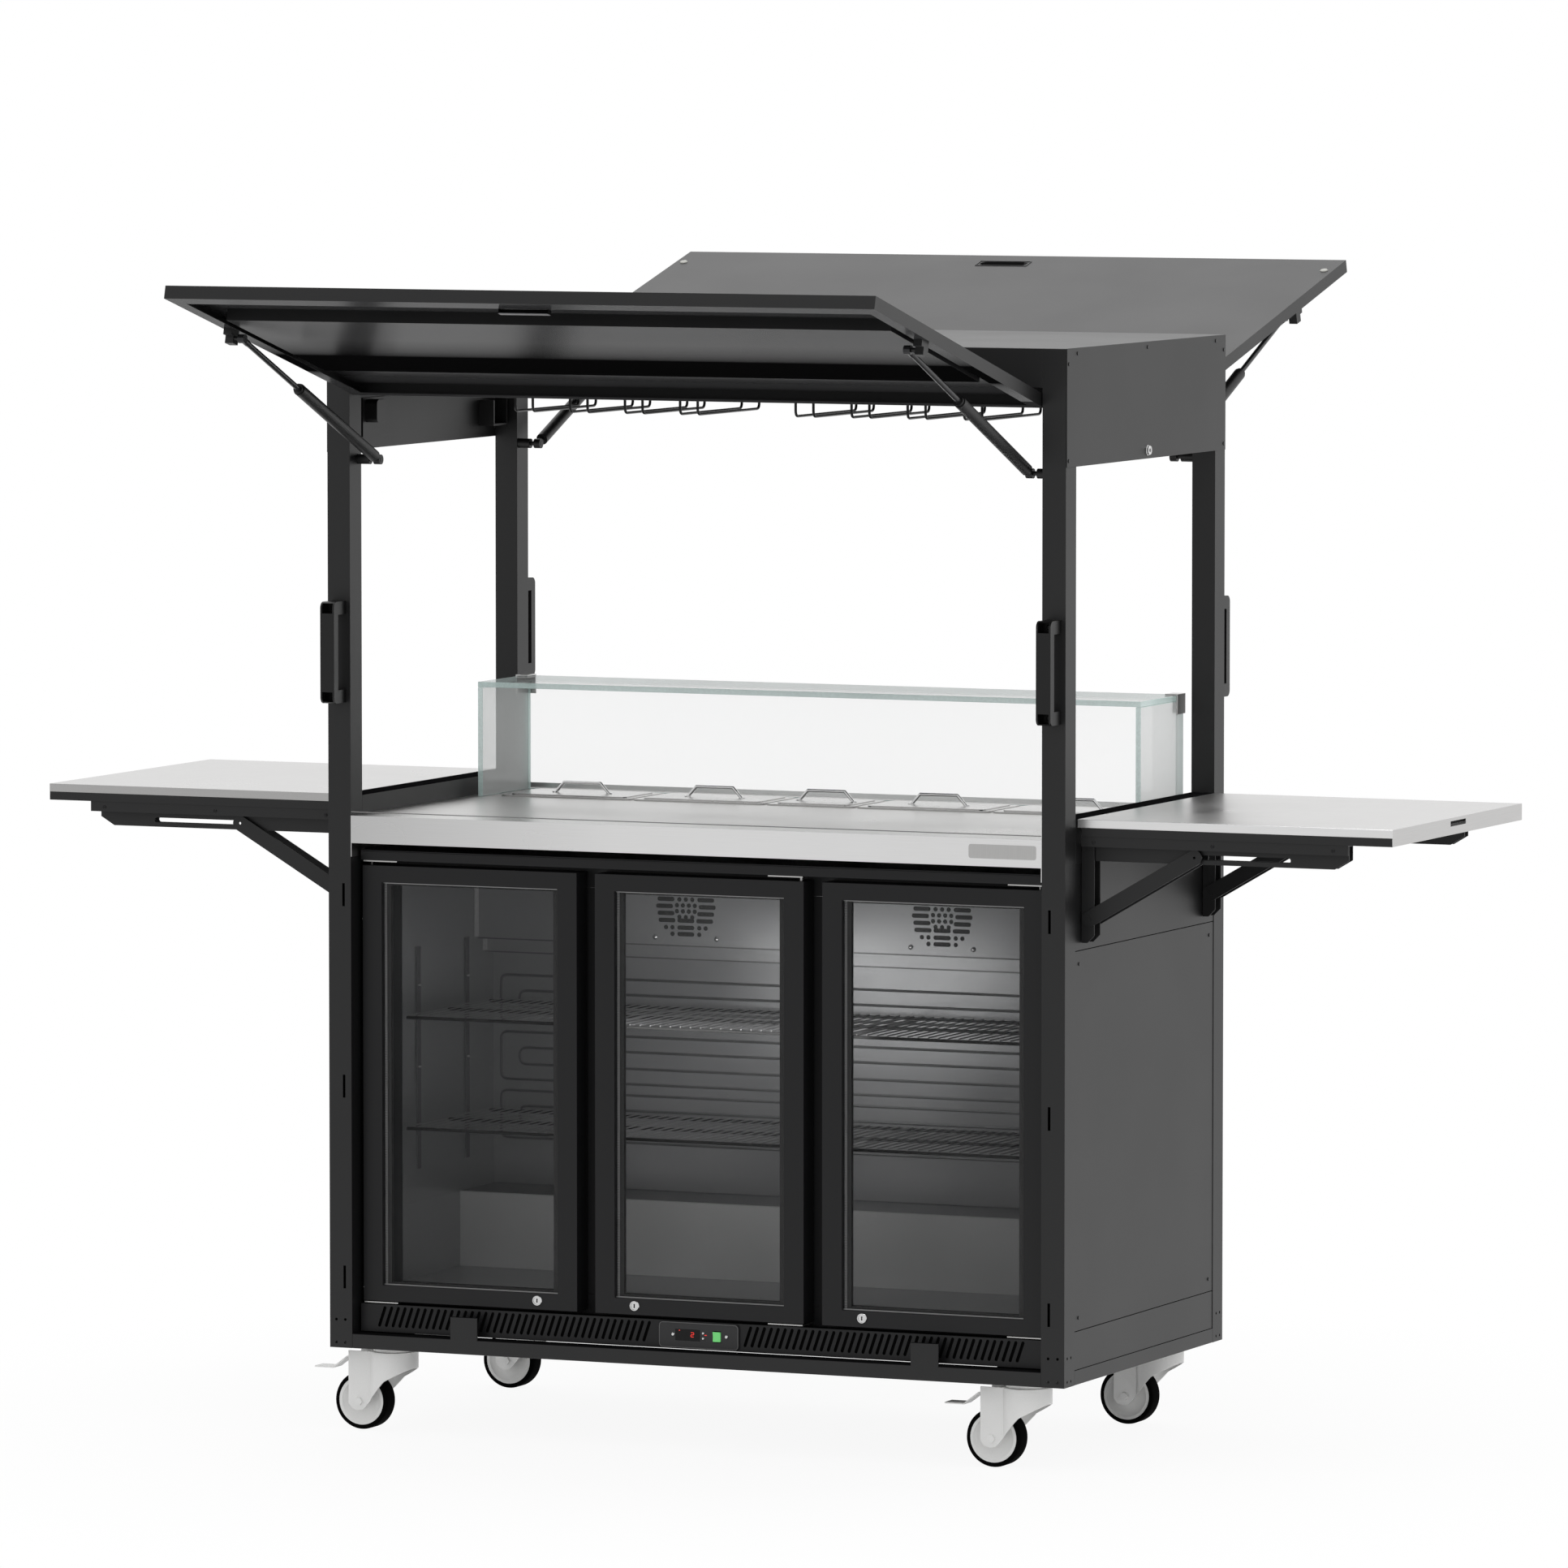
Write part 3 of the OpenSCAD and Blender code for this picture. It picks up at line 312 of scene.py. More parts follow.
def brushed(name="brushed_steel", along=(0.012, 1, 1), rough=0.30, tone=None):
    return surface(name, tone or looks().steel, rough, stretch=along, bump=0.05, shift=0.06, patch=3.0,
                   Metallic=1.0)


@cache
def lit_front_steel():
    """Brushed steel of the worktop's front edge, lighter than the top as painted light, and darker toward the
    left post as that light fades.
    """
    return across(brushed("lit_front_steel", tone=looks().front), "X", ((-0.68, 0.70), (-0.15, 1.0)))


def chrome():
    return surface("chrome", looks().chrome, 0.16, grain=300, bump=0.02, spread=0.05, shift=0.04,
                   Metallic=1.0)


def zinc():
    return surface("bright_zinc", looks().zinc, 0.36, grain=700, spread=0.08, shift=0.05, Metallic=0.1)


def hub_plastic():
    return surface("hub_plastic", looks().hub, 0.42, bump=0.12, shift=0.05)


def rubber():
    return surface("tyre_rubber", looks().rubber, 0.75, grain=700, bump=0.2, spread=0.08, shift=0.2, IOR=1.05)


def liner():
    return surface("liner_sheet", looks().liner, 0.36, grain=600, stretch=(0.02, 1, 1), bump=0.06, shift=0.06,
                   Metallic=0.6)


# Pale sheet: a painted highlight on the hump's front and the fan cover's left ends, and the plain colour of
# the shelf clips.
def bright_sheet():
    return surface("bright_sheet", grey(0.80), 0.5, bump=0.06)


# Darker liner sheet: painted shade on the liner's rings, the hump's top and the line under each fan cover
# sheet, and the plain tone of the shelf uprights.
def shade_and_upright_sheet():
    return surface("shade_and_upright_sheet", [0.55 * c for c in looks().liner], 0.45, grain=600, bump=0.06, Metallic=0.4)


def shelf_wire():
    return surface("coated_wire", looks().wire, 0.36, bump=0.08, Metallic=0.3)


def black_wire():
    return surface("black_wire", looks().coat, 0.30, bump=0.08, IOR=1.35)


# Near-black that paints the shade in keyholes, the flap pulls' cups and behind the vents.
def painted_recess_shade():
    return surface("painted_recess_shade", grey(0.002), 0.7, IOR=1.2)


def door_pane():
    return surface("door_pane", looks().pane, 0.04, grain=30, bump=0.0, spread=0.01, shift=0.05, Alpha=0.16,
                   IOR=1.35)


@cache
def clear_pane():
    """Clear glass whose pale colour is a painted reflection, veiling more where it is seen along its face."""
    mat = surface("clear_pane", looks().clear, 0.03, grain=30, bump=0.0, spread=0.01, shift=0.02, IOR=1.4)
    slant = mat.node_tree.nodes.new("ShaderNodeLayerWeight").outputs["Facing"]
    # The pale colour that shows as the alpha rises is a painted reflection.
    reflection_veil = span(mat.node_tree, slant, 0.08, 0.50, 0.1, 0.7)
    join(mat.node_tree, reflection_veil, shader_of(mat).inputs["Alpha"])
    return mat


def cut_edge():
    return surface("cut_glass_edge", looks().edge, 0.12, grain=300, bump=0.05, spread=0.04, Alpha=0.75)


@cache
def spacer_bar():
    """Dark spacer with a row of fine light holes down its length."""
    dark, light = grey(0.12), grey(0.34)
    mat = surface("spacer_bar", dark, 0.4, grain=800)
    tree = mat.node_tree
    rows = tree.nodes.new("ShaderNodeTexWave")
    rows.bands_direction = "Z"
    rows.inputs["Scale"].default_value = 110
    join(tree, coords(tree), rows.inputs["Vector"])
    tint = two_tone(tree, span(tree, rows.outputs["Fac"], 0.0, 1.0, 0.4, 0.9), dark, light)
    join(tree, tint, shader_of(mat).inputs["Base Color"])
    return mat


def glow(name, tone, strength):
    return surface(name, tone, 0.35, grain=800, bump=0.03, shift=0.05, Emission_Color=[*tone, 1],
                   Emission_Strength=strength)


# Shaping helpers: every one adds to a bmesh, in metres, in the frame of the CAD

CREASE = math.radians(35)
SHARP = math.radians(50)
FLAT = math.radians(0.5)
TOUCH = 1e-6
CAD_TOUCH = 2e-6
SPUN_TOUCH = 1e-5
LONG_EDGE = 4.0
CORNER_STEPS = 5


def bevel(bm, edges, radius, steps):
    """Rounds edges and gives the faces that it makes."""
    return bmesh.ops.bevel(bm, geom=edges, offset=radius, offset_type="OFFSET", segments=steps, profile=0.5,
                           affect="EDGES", material=-1, clamp_overlap=True)["faces"]


def cube(bm, low, high, mat):
    """A box between two corners. Gives its edges and faces."""
    low, high = Vector(low), Vector(high)
    made = bmesh.ops.create_cube(bm, size=1.0)["verts"]
    place = Matrix.Translation((low + high) / 2) @ Matrix.Diagonal((*(high - low), 1))
    bmesh.ops.transform(bm, matrix=place, verts=made)
    edges = list(dict.fromkeys(e for v in made for e in v.link_edges))
    faces = list(dict.fromkeys(f for v in made for f in v.link_faces))
    for f in faces:
        f.material_index = mat
    return edges, faces


def block(bm, low, high, soft=0.0, steps=2, mat=0):
    """A box between two corners, with rounded edges."""
    edges, _ = cube(bm, low, high, mat)
    if soft:
        bevel(bm, edges, soft, steps)


def plate(bm, low, high, corner, soft, mat=0):
    """A flat plate facing the front, with round corners and a soft rim."""
    edges, walls = cube(bm, low, high, mat)
    front = Vector(low).y
    deep = [e for e in edges if abs(e.verts[0].co.y - e.verts[1].co.y) > TOUCH]
    faces = bevel(bm, deep, corner, CORNER_STEPS) + [f for f in walls if f.is_valid]
    rim = [e for f in faces for e in f.edges if all(abs(v.co.y - front) < 1e-7 for v in e.verts)]
    bevel(bm, list(dict.fromkeys(rim)), soft, 2)


def turn_to(axis):
    """The turn that takes +Z to the given axis."""
    return UP.rotation_difference(Vector(axis)).to_matrix().to_4x4()


def lathe(bm, profile, centre, axis, steps, mat=0):
    """Spins a closed profile of (radius, height) points about an axis."""
    place = Matrix.Translation(centre) @ turn_to(axis)
    verts = [bm.verts.new(place @ Vector((r, 0, h))) for r, h in profile]
    edges = [bm.edges.new((verts[i], verts[i - 1])) for i in range(len(verts))]
    before = set(bm.faces)
    bmesh.ops.spin(bm, geom=verts + edges, cent=centre, axis=Vector(axis), angle=math.tau, steps=steps,
                   use_merge=True, use_duplicate=False)
    faces = [f for f in bm.faces if f not in before]
    for f in faces:
        f.material_index = mat
    verts = dict.fromkeys(v for f in faces for v in f.verts)
    bmesh.ops.remove_doubles(bm, verts=list(verts), dist=SPUN_TOUCH)


def knob(bm, centre, axis, radius, height, crown=0.3, steps=24, mat=0):
    """A low round head standing on centre: a screw head, a cap or a boss."""
    c = height * crown
    head = [(0, 0), (radius, 0), (radius, height - c), (radius - c, height), (0, height)]
    lathe(bm, head, centre, axis, steps, mat)


def curved(points, radius):
    """The points of a path whose corners are rounded."""
    points = [Vector(p) for p in points]
    path = [points[0]]
    for a, b, c in zip(points, points[1:], points[2:]):
        reach = min(radius, (a - b).length / 2, (c - b).length / 2)
        start, end = b + (a - b).normalized() * reach, b + (c - b).normalized() * reach
        for i in range(CORNER_STEPS + 1):
            t = i / CORNER_STEPS
            path.append((1 - t) ** 2 * start + 2 * t * (1 - t) * b + t * t * end)
    path.append(points[-1])
    return path


def wire(bm, path, diameter, sides=8, mat=0):
    """Sweeps a round wire along a path."""
    path = [Vector(p) for p in path]
    way = [(b - a).normalized() for a, b in zip(path, path[1:])]
    ways = [way[0]] + [(a + b).normalized() for a, b in zip(way, way[1:])] + [way[-1]]
    turn = turn_to(ways[0])
    ring = bmesh.ops.create_circle(bm, cap_ends=True, radius=diameter / 2, segments=sides)["verts"]
    last = Matrix.Translation(path[0]) @ turn
    bmesh.ops.transform(bm, matrix=last, verts=ring)
    faces = {f for v in ring for f in v.link_faces}
    edges = list(dict.fromkeys(e for v in ring for e in v.link_edges))
    for spot, old, new in zip(path[1:], ways, ways[1:]):
        turn = old.rotation_difference(new).to_matrix().to_4x4() @ turn
        step = Matrix.Translation(spot) @ turn
        grown = bmesh.ops.extrude_edge_only(bm, edges=edges)["geom"]
        ring = [g for g in grown if isinstance(g, bmesh.types.BMVert)]
        edges = [g for g in grown if isinstance(g, bmesh.types.BMEdge) and all(v in ring for v in g.verts)]
        faces |= {g for g in grown if isinstance(g, bmesh.types.BMFace)}
        bmesh.ops.transform(bm, matrix=step @ last.inverted(), verts=ring)
        last = step
    faces |= set(bmesh.ops.contextual_create(bm, geom=edges)["faces"])
    for f in faces:
        f.material_index = mat


def wire_loop(bm, middle, half_wide, half_tall, bend, diameter, mat=0):
    """A wire bent to a rectangle that faces the front, with round corners."""
    x, z = half_wide, half_tall
    ring = [(0, -z), (x, -z), (x, z), (-x, z), (-x, -z), (0, -z)]
    wire(bm, curved([Vector(middle) + Vector((a, 0, b)) for a, b in ring], bend), diameter, mat=mat)


def key_lock(bm, centre, axis, radius, proud, deep):
    """A lock barrel with a raised ring, a set-back face and a keyhole painted as shade."""
    face, slope, key = proud - 0.9 * MM, proud - 0.2 * MM, 2.2 * MM
    ring = [(0, -deep), (radius, -deep), (radius, proud - 1.2 * MM), (radius - 0.8 * MM, slope),
            (radius - 1.6 * MM, proud), (radius - 2.5 * MM, slope), (radius - 2.9 * MM, face), (0, face)]
    lathe(bm, ring, centre, axis, 48)
    middle = Vector(centre) + Vector(axis) * face
    # The keyhole is drawn in the second finish, painted shade.
    for z in (-key, key):
        knob(bm, middle + UP * z, axis, 1.5 * MM, 0.15 * MM, steps=16, mat=1)
    slot, half = middle + Vector(axis) * 0.1 * MM, Vector((0.7 * MM, 0.7 * MM, key))
    block(bm, slot - half, slot + half, mat=1)


def added(name, data):
    """A new object in the scene."""
    obj = bpy.data.objects.new(name, data)
    bpy.context.scene.collection.objects.link(obj)
    return obj


def added_mesh(name, bm):
    """A new object in the scene, made of a bmesh."""
    mesh = bpy.data.meshes.new(name)
    bm.to_mesh(mesh)
    bm.free()
    return added(name, mesh)


def piece(name, bm, finishes, body, slot, replaced=(), outward=True):
    """Makes an object of a bmesh, with its finishes, and lets it ride on a body."""
    if outward:
        bmesh.ops.recalc_face_normals(bm, faces=bm.faces)
    obj = added_mesh(name, bm)
    obj.data.shade_smooth()
    obj.data.set_sharp_from_angle(angle=CREASE)
    obj.modifiers.new("even_normals", "WEIGHTED_NORMAL").keep_sharp = True
    for finish in finishes:
        obj.data.materials.append(finish)
    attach(obj, body)
    if replaced:
        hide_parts(*replaced)
    return obj


def merged(node):
    """A copy of a CAD node's mesh with its triangles joined to flat faces."""
    bm = bmesh.new()
    bm.from_mesh(frame["nodes"][node].data)
    bmesh.ops.remove_doubles(bm, verts=bm.verts, dist=CAD_TOUCH)
    bmesh.ops.dissolve_limit(bm, angle_limit=FLAT, verts=bm.verts, edges=bm.edges)
    for f in bm.faces:
        f.material_index = 0
    return bm


def softened(node, radius, finish, steps=2, facing=None, other=None, square=0.8):
    """A copy of a CAD node with its long edges rounded, and another finish on the faces that face one way."""
    bm = merged(node)
    sharp = [e for e in bm.edges if len(e.link_faces) == 2 and e.calc_length() > LONG_EDGE * radius
             and e.calc_face_angle(0) > SHARP]
    if radius and sharp:
        bevel(bm, sharp, radius, steps)
    bm.normal_update()
    for f in bm.faces:
        f.material_index = 1 if facing and f.normal.dot(facing) > square else 0
    finishes = [finish, other] if facing else [finish]
    return piece(node + "_finish", bm, finishes, BODY_OF[node], SLOT_OF[node], [node], outward=False)


def shells(bm):
    """The separate shells of a bmesh."""
    rest = set(bm.faces)
    while rest:
        shell, grown = set(), {rest.pop()}
        while grown:
            shell |= grown
            grown = {g for f in grown for e in f.edges for g in e.link_faces} & rest
            rest -= grown
        yield shell


def paint(node, finish):
    """Gives a CAD node that stays as it is its finish."""
    mesh = frame["nodes"][node].data
    mesh.materials.clear()
    mesh.materials.append(finish)


class BAR_OT_frame(bpy.types.Operator):
    """Posts, rails, panels, roof and their locks and screws"""
    bl_idname = "bar.frame"
    bl_label = "Frame and panels"

    def execute(self, context):
        for node in ("corner_posts", "base_frame", "body_panels", "roof_panel", "fascia_panels",
                     "power_boxes", "strut_anchors"):
            facing = UP if node == "base_frame" else None
            softened(node, sizes().fold, coat(), facing=facing, other=dull_coat(), square=0.27)
        paint("panel_screws", black_wire())
        low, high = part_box("fascia_locks")
        bm = bmesh.new()
        for spot, way in ((low.x, -1), (high.x, 1)):
            centre = (spot - way * 6 * MM, 0, (low.z + high.z) / 2)
            key_lock(bm, centre, (way, 0, 0), 8.5 * MM, 5.6 * MM, 0)
            knob(bm, centre, (way, 0, 0), (high.z - low.z) / 2, 2 * MM, 0.4, 40)
        piece("fascia_lock_barrels", bm, [chrome(), painted_recess_shade()], "unit", "chrome", ["fascia_locks"])
        return {"FINISHED"}


class BAR_OT_worktop(bpy.types.Operator):
    """Worktop, food pans, lids and the plain plate on the front edge"""
    bl_idname = "bar.worktop"
    bl_label = "Worktop and lids"

    def execute(self, context):
        # The worktop's front faces take the steel with painted light.
        softened("worktop", 0.8 * MM, brushed(), facing=FRONT, other=lit_front_steel())
        softened("food_pans", 0, brushed())
        for i in range(1, 6):
            self.lid(f"lid_{i}")
        self.front_plate()
        return {"FINISHED"}

    def lid(self, node):
        """A lid whose wire handle is brighter than its sheet."""
        mesh = softened(node, 0.5 * MM, brushed("lid_steel", (0.03, 1, 1), 0.24)).data
        mesh.materials.append(surface("lid_wire", grey(0.96), 0.2, bump=0.03, Metallic=1.0))
        sheet_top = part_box(node)[0].z + 3.5 * MM
        for f in mesh.polygons:
            f.material_index = 1 if f.center.z > sheet_top else 0

    def front_plate(self):
        """A bare plate near the right end of the front edge, and a line of painted shade along the top's
        fold.
        """
        low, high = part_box("worktop")
        right, top, wide, tall = high.x - 11 * MM, high.z - 19 * MM, 129 * MM, 25 * MM
        proud, sunk, end = 1.4 * MM, 0.2 * MM, 1 * MM
        bm = bmesh.new()
        plate(bm, (right - wide, low.y - proud, top - tall), (right, low.y + sunk, top), 4 * MM, 0.5 * MM)
        # A darker copy of the steel along the top's fold, painted shade.
        block(bm, (low.x + end, low.y - 0.3 * MM, high.z - 2 * MM),
              (high.x - end, low.y + 0.6 * MM, high.z - 0.2 * MM), 0.2 * MM, 1, 1)
        fold = brushed("painted_fold_shade", tone=[0.5 * c for c in looks().steel])
        piece("front_plate", bm, [brushed("plate_steel", (1, 1, 0.02), 0.34), fold], "unit", "steel")


class BAR_OT_guard(bpy.types.Operator):
    """Glass guard over the pans and its corner clamps"""
    bl_idname = "bar.guard"
    bl_label = "Glass guard"

    def execute(self, context):
        bm = merged("glass_guard")
        bevel(bm, list(bm.edges), 0.8 * MM, 1)
        narrow = 50 * MM
        for f in bm.faces:
            spans = [max(v.co[k] for v in f.verts) - min(v.co[k] for v in f.verts) for k in range(3)]
            f.material_index = 0 if sorted(spans)[1] > narrow else 1
        piece("guard_panes", bm, [clear_pane(), cut_edge()], "unit", "clear_glass", ["glass_guard"],
              outward=False)
        softened("glass_clamps", 0.8 * MM, brushed())
        return {"FINISHED"}


# Places in the cooler, from the liner's floor, back or top; names that end in an axis are in the unit's frame

HUMP_TALL = 140 * MM
HUMP_DEEP = 151 * MM
PLAIN_COVER = 97 * MM
COVER_DEEP = 70 * MM
COVER_DROP = 136 * MM
STEP_DEEP = 34 * MM
STEP_DROP = 164 * MM
FANS_X = (-211 * MM, 301 * MM)
LOOPS_Z = (755 * MM, 649 * MM, 540 * MM)
SHELVES_OVER_HUMP = (142 * MM, 346 * MM)
WALL_BARS_Y = (-205 * MM, 2 * MM)
CLIPS_Z = (655 * MM, 805 * MM)
BAR_HALF = 10 * MM

# Finishes of the liner's and the shelves' faces, in the order in which their pieces list them, from 0

# Of these, 2 marks liner faces of painted shade and 3 faces of a painted highlight.
VENT, PAINTED_SHADE, PAINTED_HIGHLIGHT, SCREW = 1, 2, 3, 4
WIRE, CLIP, UPRIGHT, RIM = 0, 1, 2, 3


class BAR_OT_cooler(bpy.types.Operator):
    """Cooler carcass, liner, hinges and wire shelves"""
    bl_idname = "bar.cooler"
    bl_label = "Cooler inside"

    def execute(self, context):
        softened("cooler_shell", 0.5 * MM, door_coat())
        softened("door_hinges", 0.4 * MM, brushed("hinge_steel", (0.05, 1, 1), 0.36))
        self.inside()
        self.shelves((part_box("door_middle")[1].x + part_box("door_right")[0].x) / 2)
        return {"FINISHED"}

    def inside(self):
        """The liner with a ribbed back sheet and a stepped fan cover in front of the plain wall."""
        low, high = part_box("cooler_liner")
        hump = low.z + HUMP_TALL
        bm = self.bare_liner(hump, high)
        self.cover(bm, low, high)
        clear, wall = 1.3 * MM, high.y - 5 * MM
        left, right = low.x + clear, high.x - clear
        block(bm, (left, wall, hump + 2 * MM), (right, wall + 1 * MM, high.z - STEP_DROP))
        # Embossed rings on the back sheet, darkened as painted shade.
        for z in LOOPS_Z:
            wire_loop(bm, (0, wall, z), right - 16 * MM, 44 * MM, 14 * MM, 5 * MM, PAINTED_SHADE)
            wire_loop(bm, (0, wall, z), right - 54 * MM, 15.5 * MM, 15 * MM, 5 * MM, PAINTED_SHADE)
        # The fan's slots and holes are painted shade.
        vent = surface("painted_vent_shade", grey(0.08), 0.7)
        piece("liner_sheets", bm, [liner(), vent, shade_and_upright_sheet(), bright_sheet(), chrome()], "unit",
              SLOT_OF["cooler_liner"], ["cooler_liner"])

    def bare_liner(self, hump, high):
        """The liner without its plain fan cover, with a painted highlight on the hump's front and painted
        shade on its top.
        """
        bm = merged("cooler_liner")
        bm.normal_update()
        near, far, base = high.y - 93 * MM, high.y - 1.1 * MM, high.z - PLAIN_COVER
        gone = [f for shell in shells(bm)
                if all(near < v.co.y < far and v.co.z > base for f in shell for v in f.verts) for f in shell]
        bmesh.ops.delete(bm, geom=gone, context="FACES")
        slack = 0.3 * MM
        for f in bm.faces:
            spot = f.calc_center_median()
            # Painted highlight on the hump's front face, painted shade on its top.
            if f.normal.y < -0.9 and abs(spot.y - high.y + HUMP_DEEP) < slack:
                f.material_index = PAINTED_HIGHLIGHT
            elif f.normal.z > 0.9 and abs(spot.z - hump - 1 * MM) < slack:
                f.material_index = PAINTED_SHADE
        return bm

    def cover(self, bm, low, high):
        """The stepped fan cover: two sheets with a painted highlight strip at the left and a painted shadow
        line below each.
        """
        clear, sheet = 1.3 * MM, 1.2 * MM
        left, right, back, top = low.x + clear, high.x - clear, high.y - clear, high.z - clear
        front, base = high.y - COVER_DEEP, high.z - COVER_DROP
        step, foot = high.y - STEP_DEEP, high.z - STEP_DROP
        for y, z0, z1 in ((front, base, top), (step, foot, base)):
            block(bm, (left, y, z0), (right, y + sheet, z1))
            block(bm, (left, y + sheet, z0), (right, back, z0 + sheet))
            # Painted highlight down the left end, and a painted shadow line along the bottom.
            block(bm, (left, y - 16 * MM, z0 + 3 * MM), (left + 1.5 * MM, y, z1 - 1 * MM), mat=PAINTED_HIGHLIGHT)
            block(bm, (left, y - 0.6 * MM, z0 - 1 * MM), (right, y + 1 * MM, z0 + 1.5 * MM), mat=PAINTED_SHADE)
        for x in FANS_X:
            self.vents(bm, Vector((x, front, base + 53 * MM)))

    def vents(self, bm, middle):
        """Slots and holes of one fan, drawn as thin dark plates of painted shade, with a screw on each side.
        """
        slots = [(0, -6), (0, -19), (0, -31)]
        holes = [(x, z) for x in (-13, 0, 13) for z in (33, 0.5)]
        holes += [(x, z) for x in (-18, -6, 6, 18) for z in (22, 11)]
        for s in (-1, 1):
            slots += [(s * 40, 33), (s * 43, 20), (s * 40, 7), (s * 38, -6)]
            holes += [(s * 40, -19), (s * 27, -19), (s * 27, -31)]
        low, high = Vector((-17, -0.3, -4)) * MM, Vector((17, -0.02, 4)) * MM
        for x, z in slots:
            spot = middle + Vector((x, 0, z)) * MM
            plate(bm, spot + low, spot + high, 3.8 * MM, 0.05 * MM, VENT)
        for x, z in holes:
            knob(bm, middle + Vector((x, 0, z)) * MM, FRONT, 4.2 * MM, 0.3 * MM, steps=16, mat=VENT)
        for x in (-62, 62):
            knob(bm, middle + Vector((x, 0, -38)) * MM, FRONT, 4.6 * MM, 2.8 * MM, 0.6, mat=SCREW)

    def shelves(self, bay):
        """Round-wire shelves in three bays, on flat uprights with bright clips."""
        low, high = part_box("shelf_set")
        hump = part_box("cooler_liner")[0].z + HUMP_TALL
        bm = bmesh.new()
        self.uprights(bm, bay, low, high)
        for over in SHELVES_OVER_HUMP:
            self.level(bm, bay, hump + over, low, high)
        # The shelf rims are darkened as painted shade.
        dim = surface("shaded_shelf_rim", grey(0.05), 0.5, bump=0.08)
        piece("wire_shelves", bm, [shelf_wire(), bright_sheet(), shade_and_upright_sheet(), dim], "unit", "wire",
              ["shelf_set"])

    def uprights(self, bm, bay, low, high):
        """A flat bar between two bays, and two with clips on each side wall."""
        for s in (-1, 1):
            block(bm, (s * bay - BAR_HALF, low.y, low.z), (s * bay + BAR_HALF, low.y + 4 * MM, high.z),
                  0.6 * MM, mat=UPRIGHT)
            x = s * (high.x - 1.5 * MM)
            for y in WALL_BARS_Y:
                block(bm, (x - 1.4 * MM, y, low.z), (x + 1.4 * MM, y + 16 * MM, high.z), 0.5 * MM,
                      mat=UPRIGHT)
                for z in CLIPS_Z:
                    block(bm, (x - 4 * MM, y + 5 * MM, z), (x + 4 * MM, y + 11 * MM, z + 3 * MM), 0.4 * MM, 1,
                          CLIP)

    def level(self, bm, bay, z, low, high):
        """The three shelves of one level, and the flat bars below them."""
        rim, thin = sizes().rim, sizes().wire
        front, back = low.y + 9 * MM, high.y - 28 * MM
        gap, wall, lift = 1 * MM, 5 * MM, 2 * MM
        bays = ((low.x + wall, -bay - gap), (-bay + gap, bay - gap), (bay + gap, high.x - wall))
        for start, end in bays:
            count = round((end - start) / sizes().wire_step)
            for y in (front, (front + back) / 2, back):
                wire(bm, [(start, y, z - lift), (end, y, z - lift)], rim, mat=RIM)
            for i in range(count + 1):
                x = start + rim / 2 + (end - start - rim) * i / count
                wire(bm, [(x, front, z + lift), (x, back, z + lift)], thin, 6, WIRE)
        for s in (-1, 1):
            block(bm, (s * bay - BAR_HALF, low.y + 4.5 * MM, z - 9 * MM),
                  (s * bay + BAR_HALF, back, z - 5.4 * MM), 0.6 * MM, mat=WIRE)


class BAR_OT_doors(bpy.types.Operator):
    """Door frames, double panes with their spacers, and locks"""
    bl_idname = "bar.doors"
    bl_label = "Cooler doors"

    def execute(self, context):
        for side in ("left", "middle", "right"):
            softened(f"door_{side}", sizes().frame_edge, door_coat(), steps=3)
            self.pane(side)
            self.lock(f"lock_{side}", f"lock_barrel_{side}")
        return {"FINISHED"}

    def lock(self, node, name):
        low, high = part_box(node)
        centre = ((low.x + high.x) / 2, low.y + 3.5 * MM, (low.z + high.z) / 2)
        bm = bmesh.new()
        key_lock(bm, centre, FRONT, (high.x - low.x) / 2, 3.4 * MM, 14 * MM)
        piece(name, bm, [chrome(), painted_recess_shade()], node, "chrome", [node])

    def pane(self, side):
        """Two sheets of glass with a spacer between them, and a pale bead along the top and bottom as a
        painted highlight.
        """
        low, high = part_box(f"glass_{side}")
        body = f"door_{side}"
        thick, wide, rail, bead_tall = sizes().sheet, sizes().spacer, 5 * MM, 2 * MM
        bm = bmesh.new()
        block(bm, low, (high.x, low.y + thick, high.z), 0.3 * MM, 1)
        block(bm, (low.x, high.y - thick, low.z), high, 0.3 * MM, 1)
        piece(f"pane_{side}", bm, [door_pane()], body, "door_glass", [f"glass_{side}"])
        bm = bmesh.new()
        y0, y1, x0, x1 = low.y + thick, high.y - thick, low.x + wide, high.x - wide
        holed = low.x + 0.4 * wide
        block(bm, (low.x, y0, low.z), (holed, y1, high.z))
        block(bm, (holed, y0, low.z), (x0, y1, high.z), mat=1)
        block(bm, (x1, y0, low.z), (high.x, y1, high.z), mat=1)
        block(bm, (x0, y0, low.z), (x1, y1, low.z + rail), mat=1)
        block(bm, (x0, y0, high.z - rail), (x1, y1, high.z), mat=1)
        shade = surface("spacer_shade", grey(0.022), 0.5)
        piece(f"spacer_{side}", bm, [spacer_bar(), shade], body, "wire")
        bm = bmesh.new()
        for z in (low.z, high.z - bead_tall):
            block(bm, (low.x, low.y - 0.6 * MM, z), (high.x, low.y, z + bead_tall))
        # The beads' pale grey is a painted highlight along the pane's top and bottom edges.
        bead = surface("pane_bead_highlight", grey(0.34), 0.4, bump=0.08, Metallic=0.7)
        piece(f"bead_{side}", bm, [bead], body, "wire")


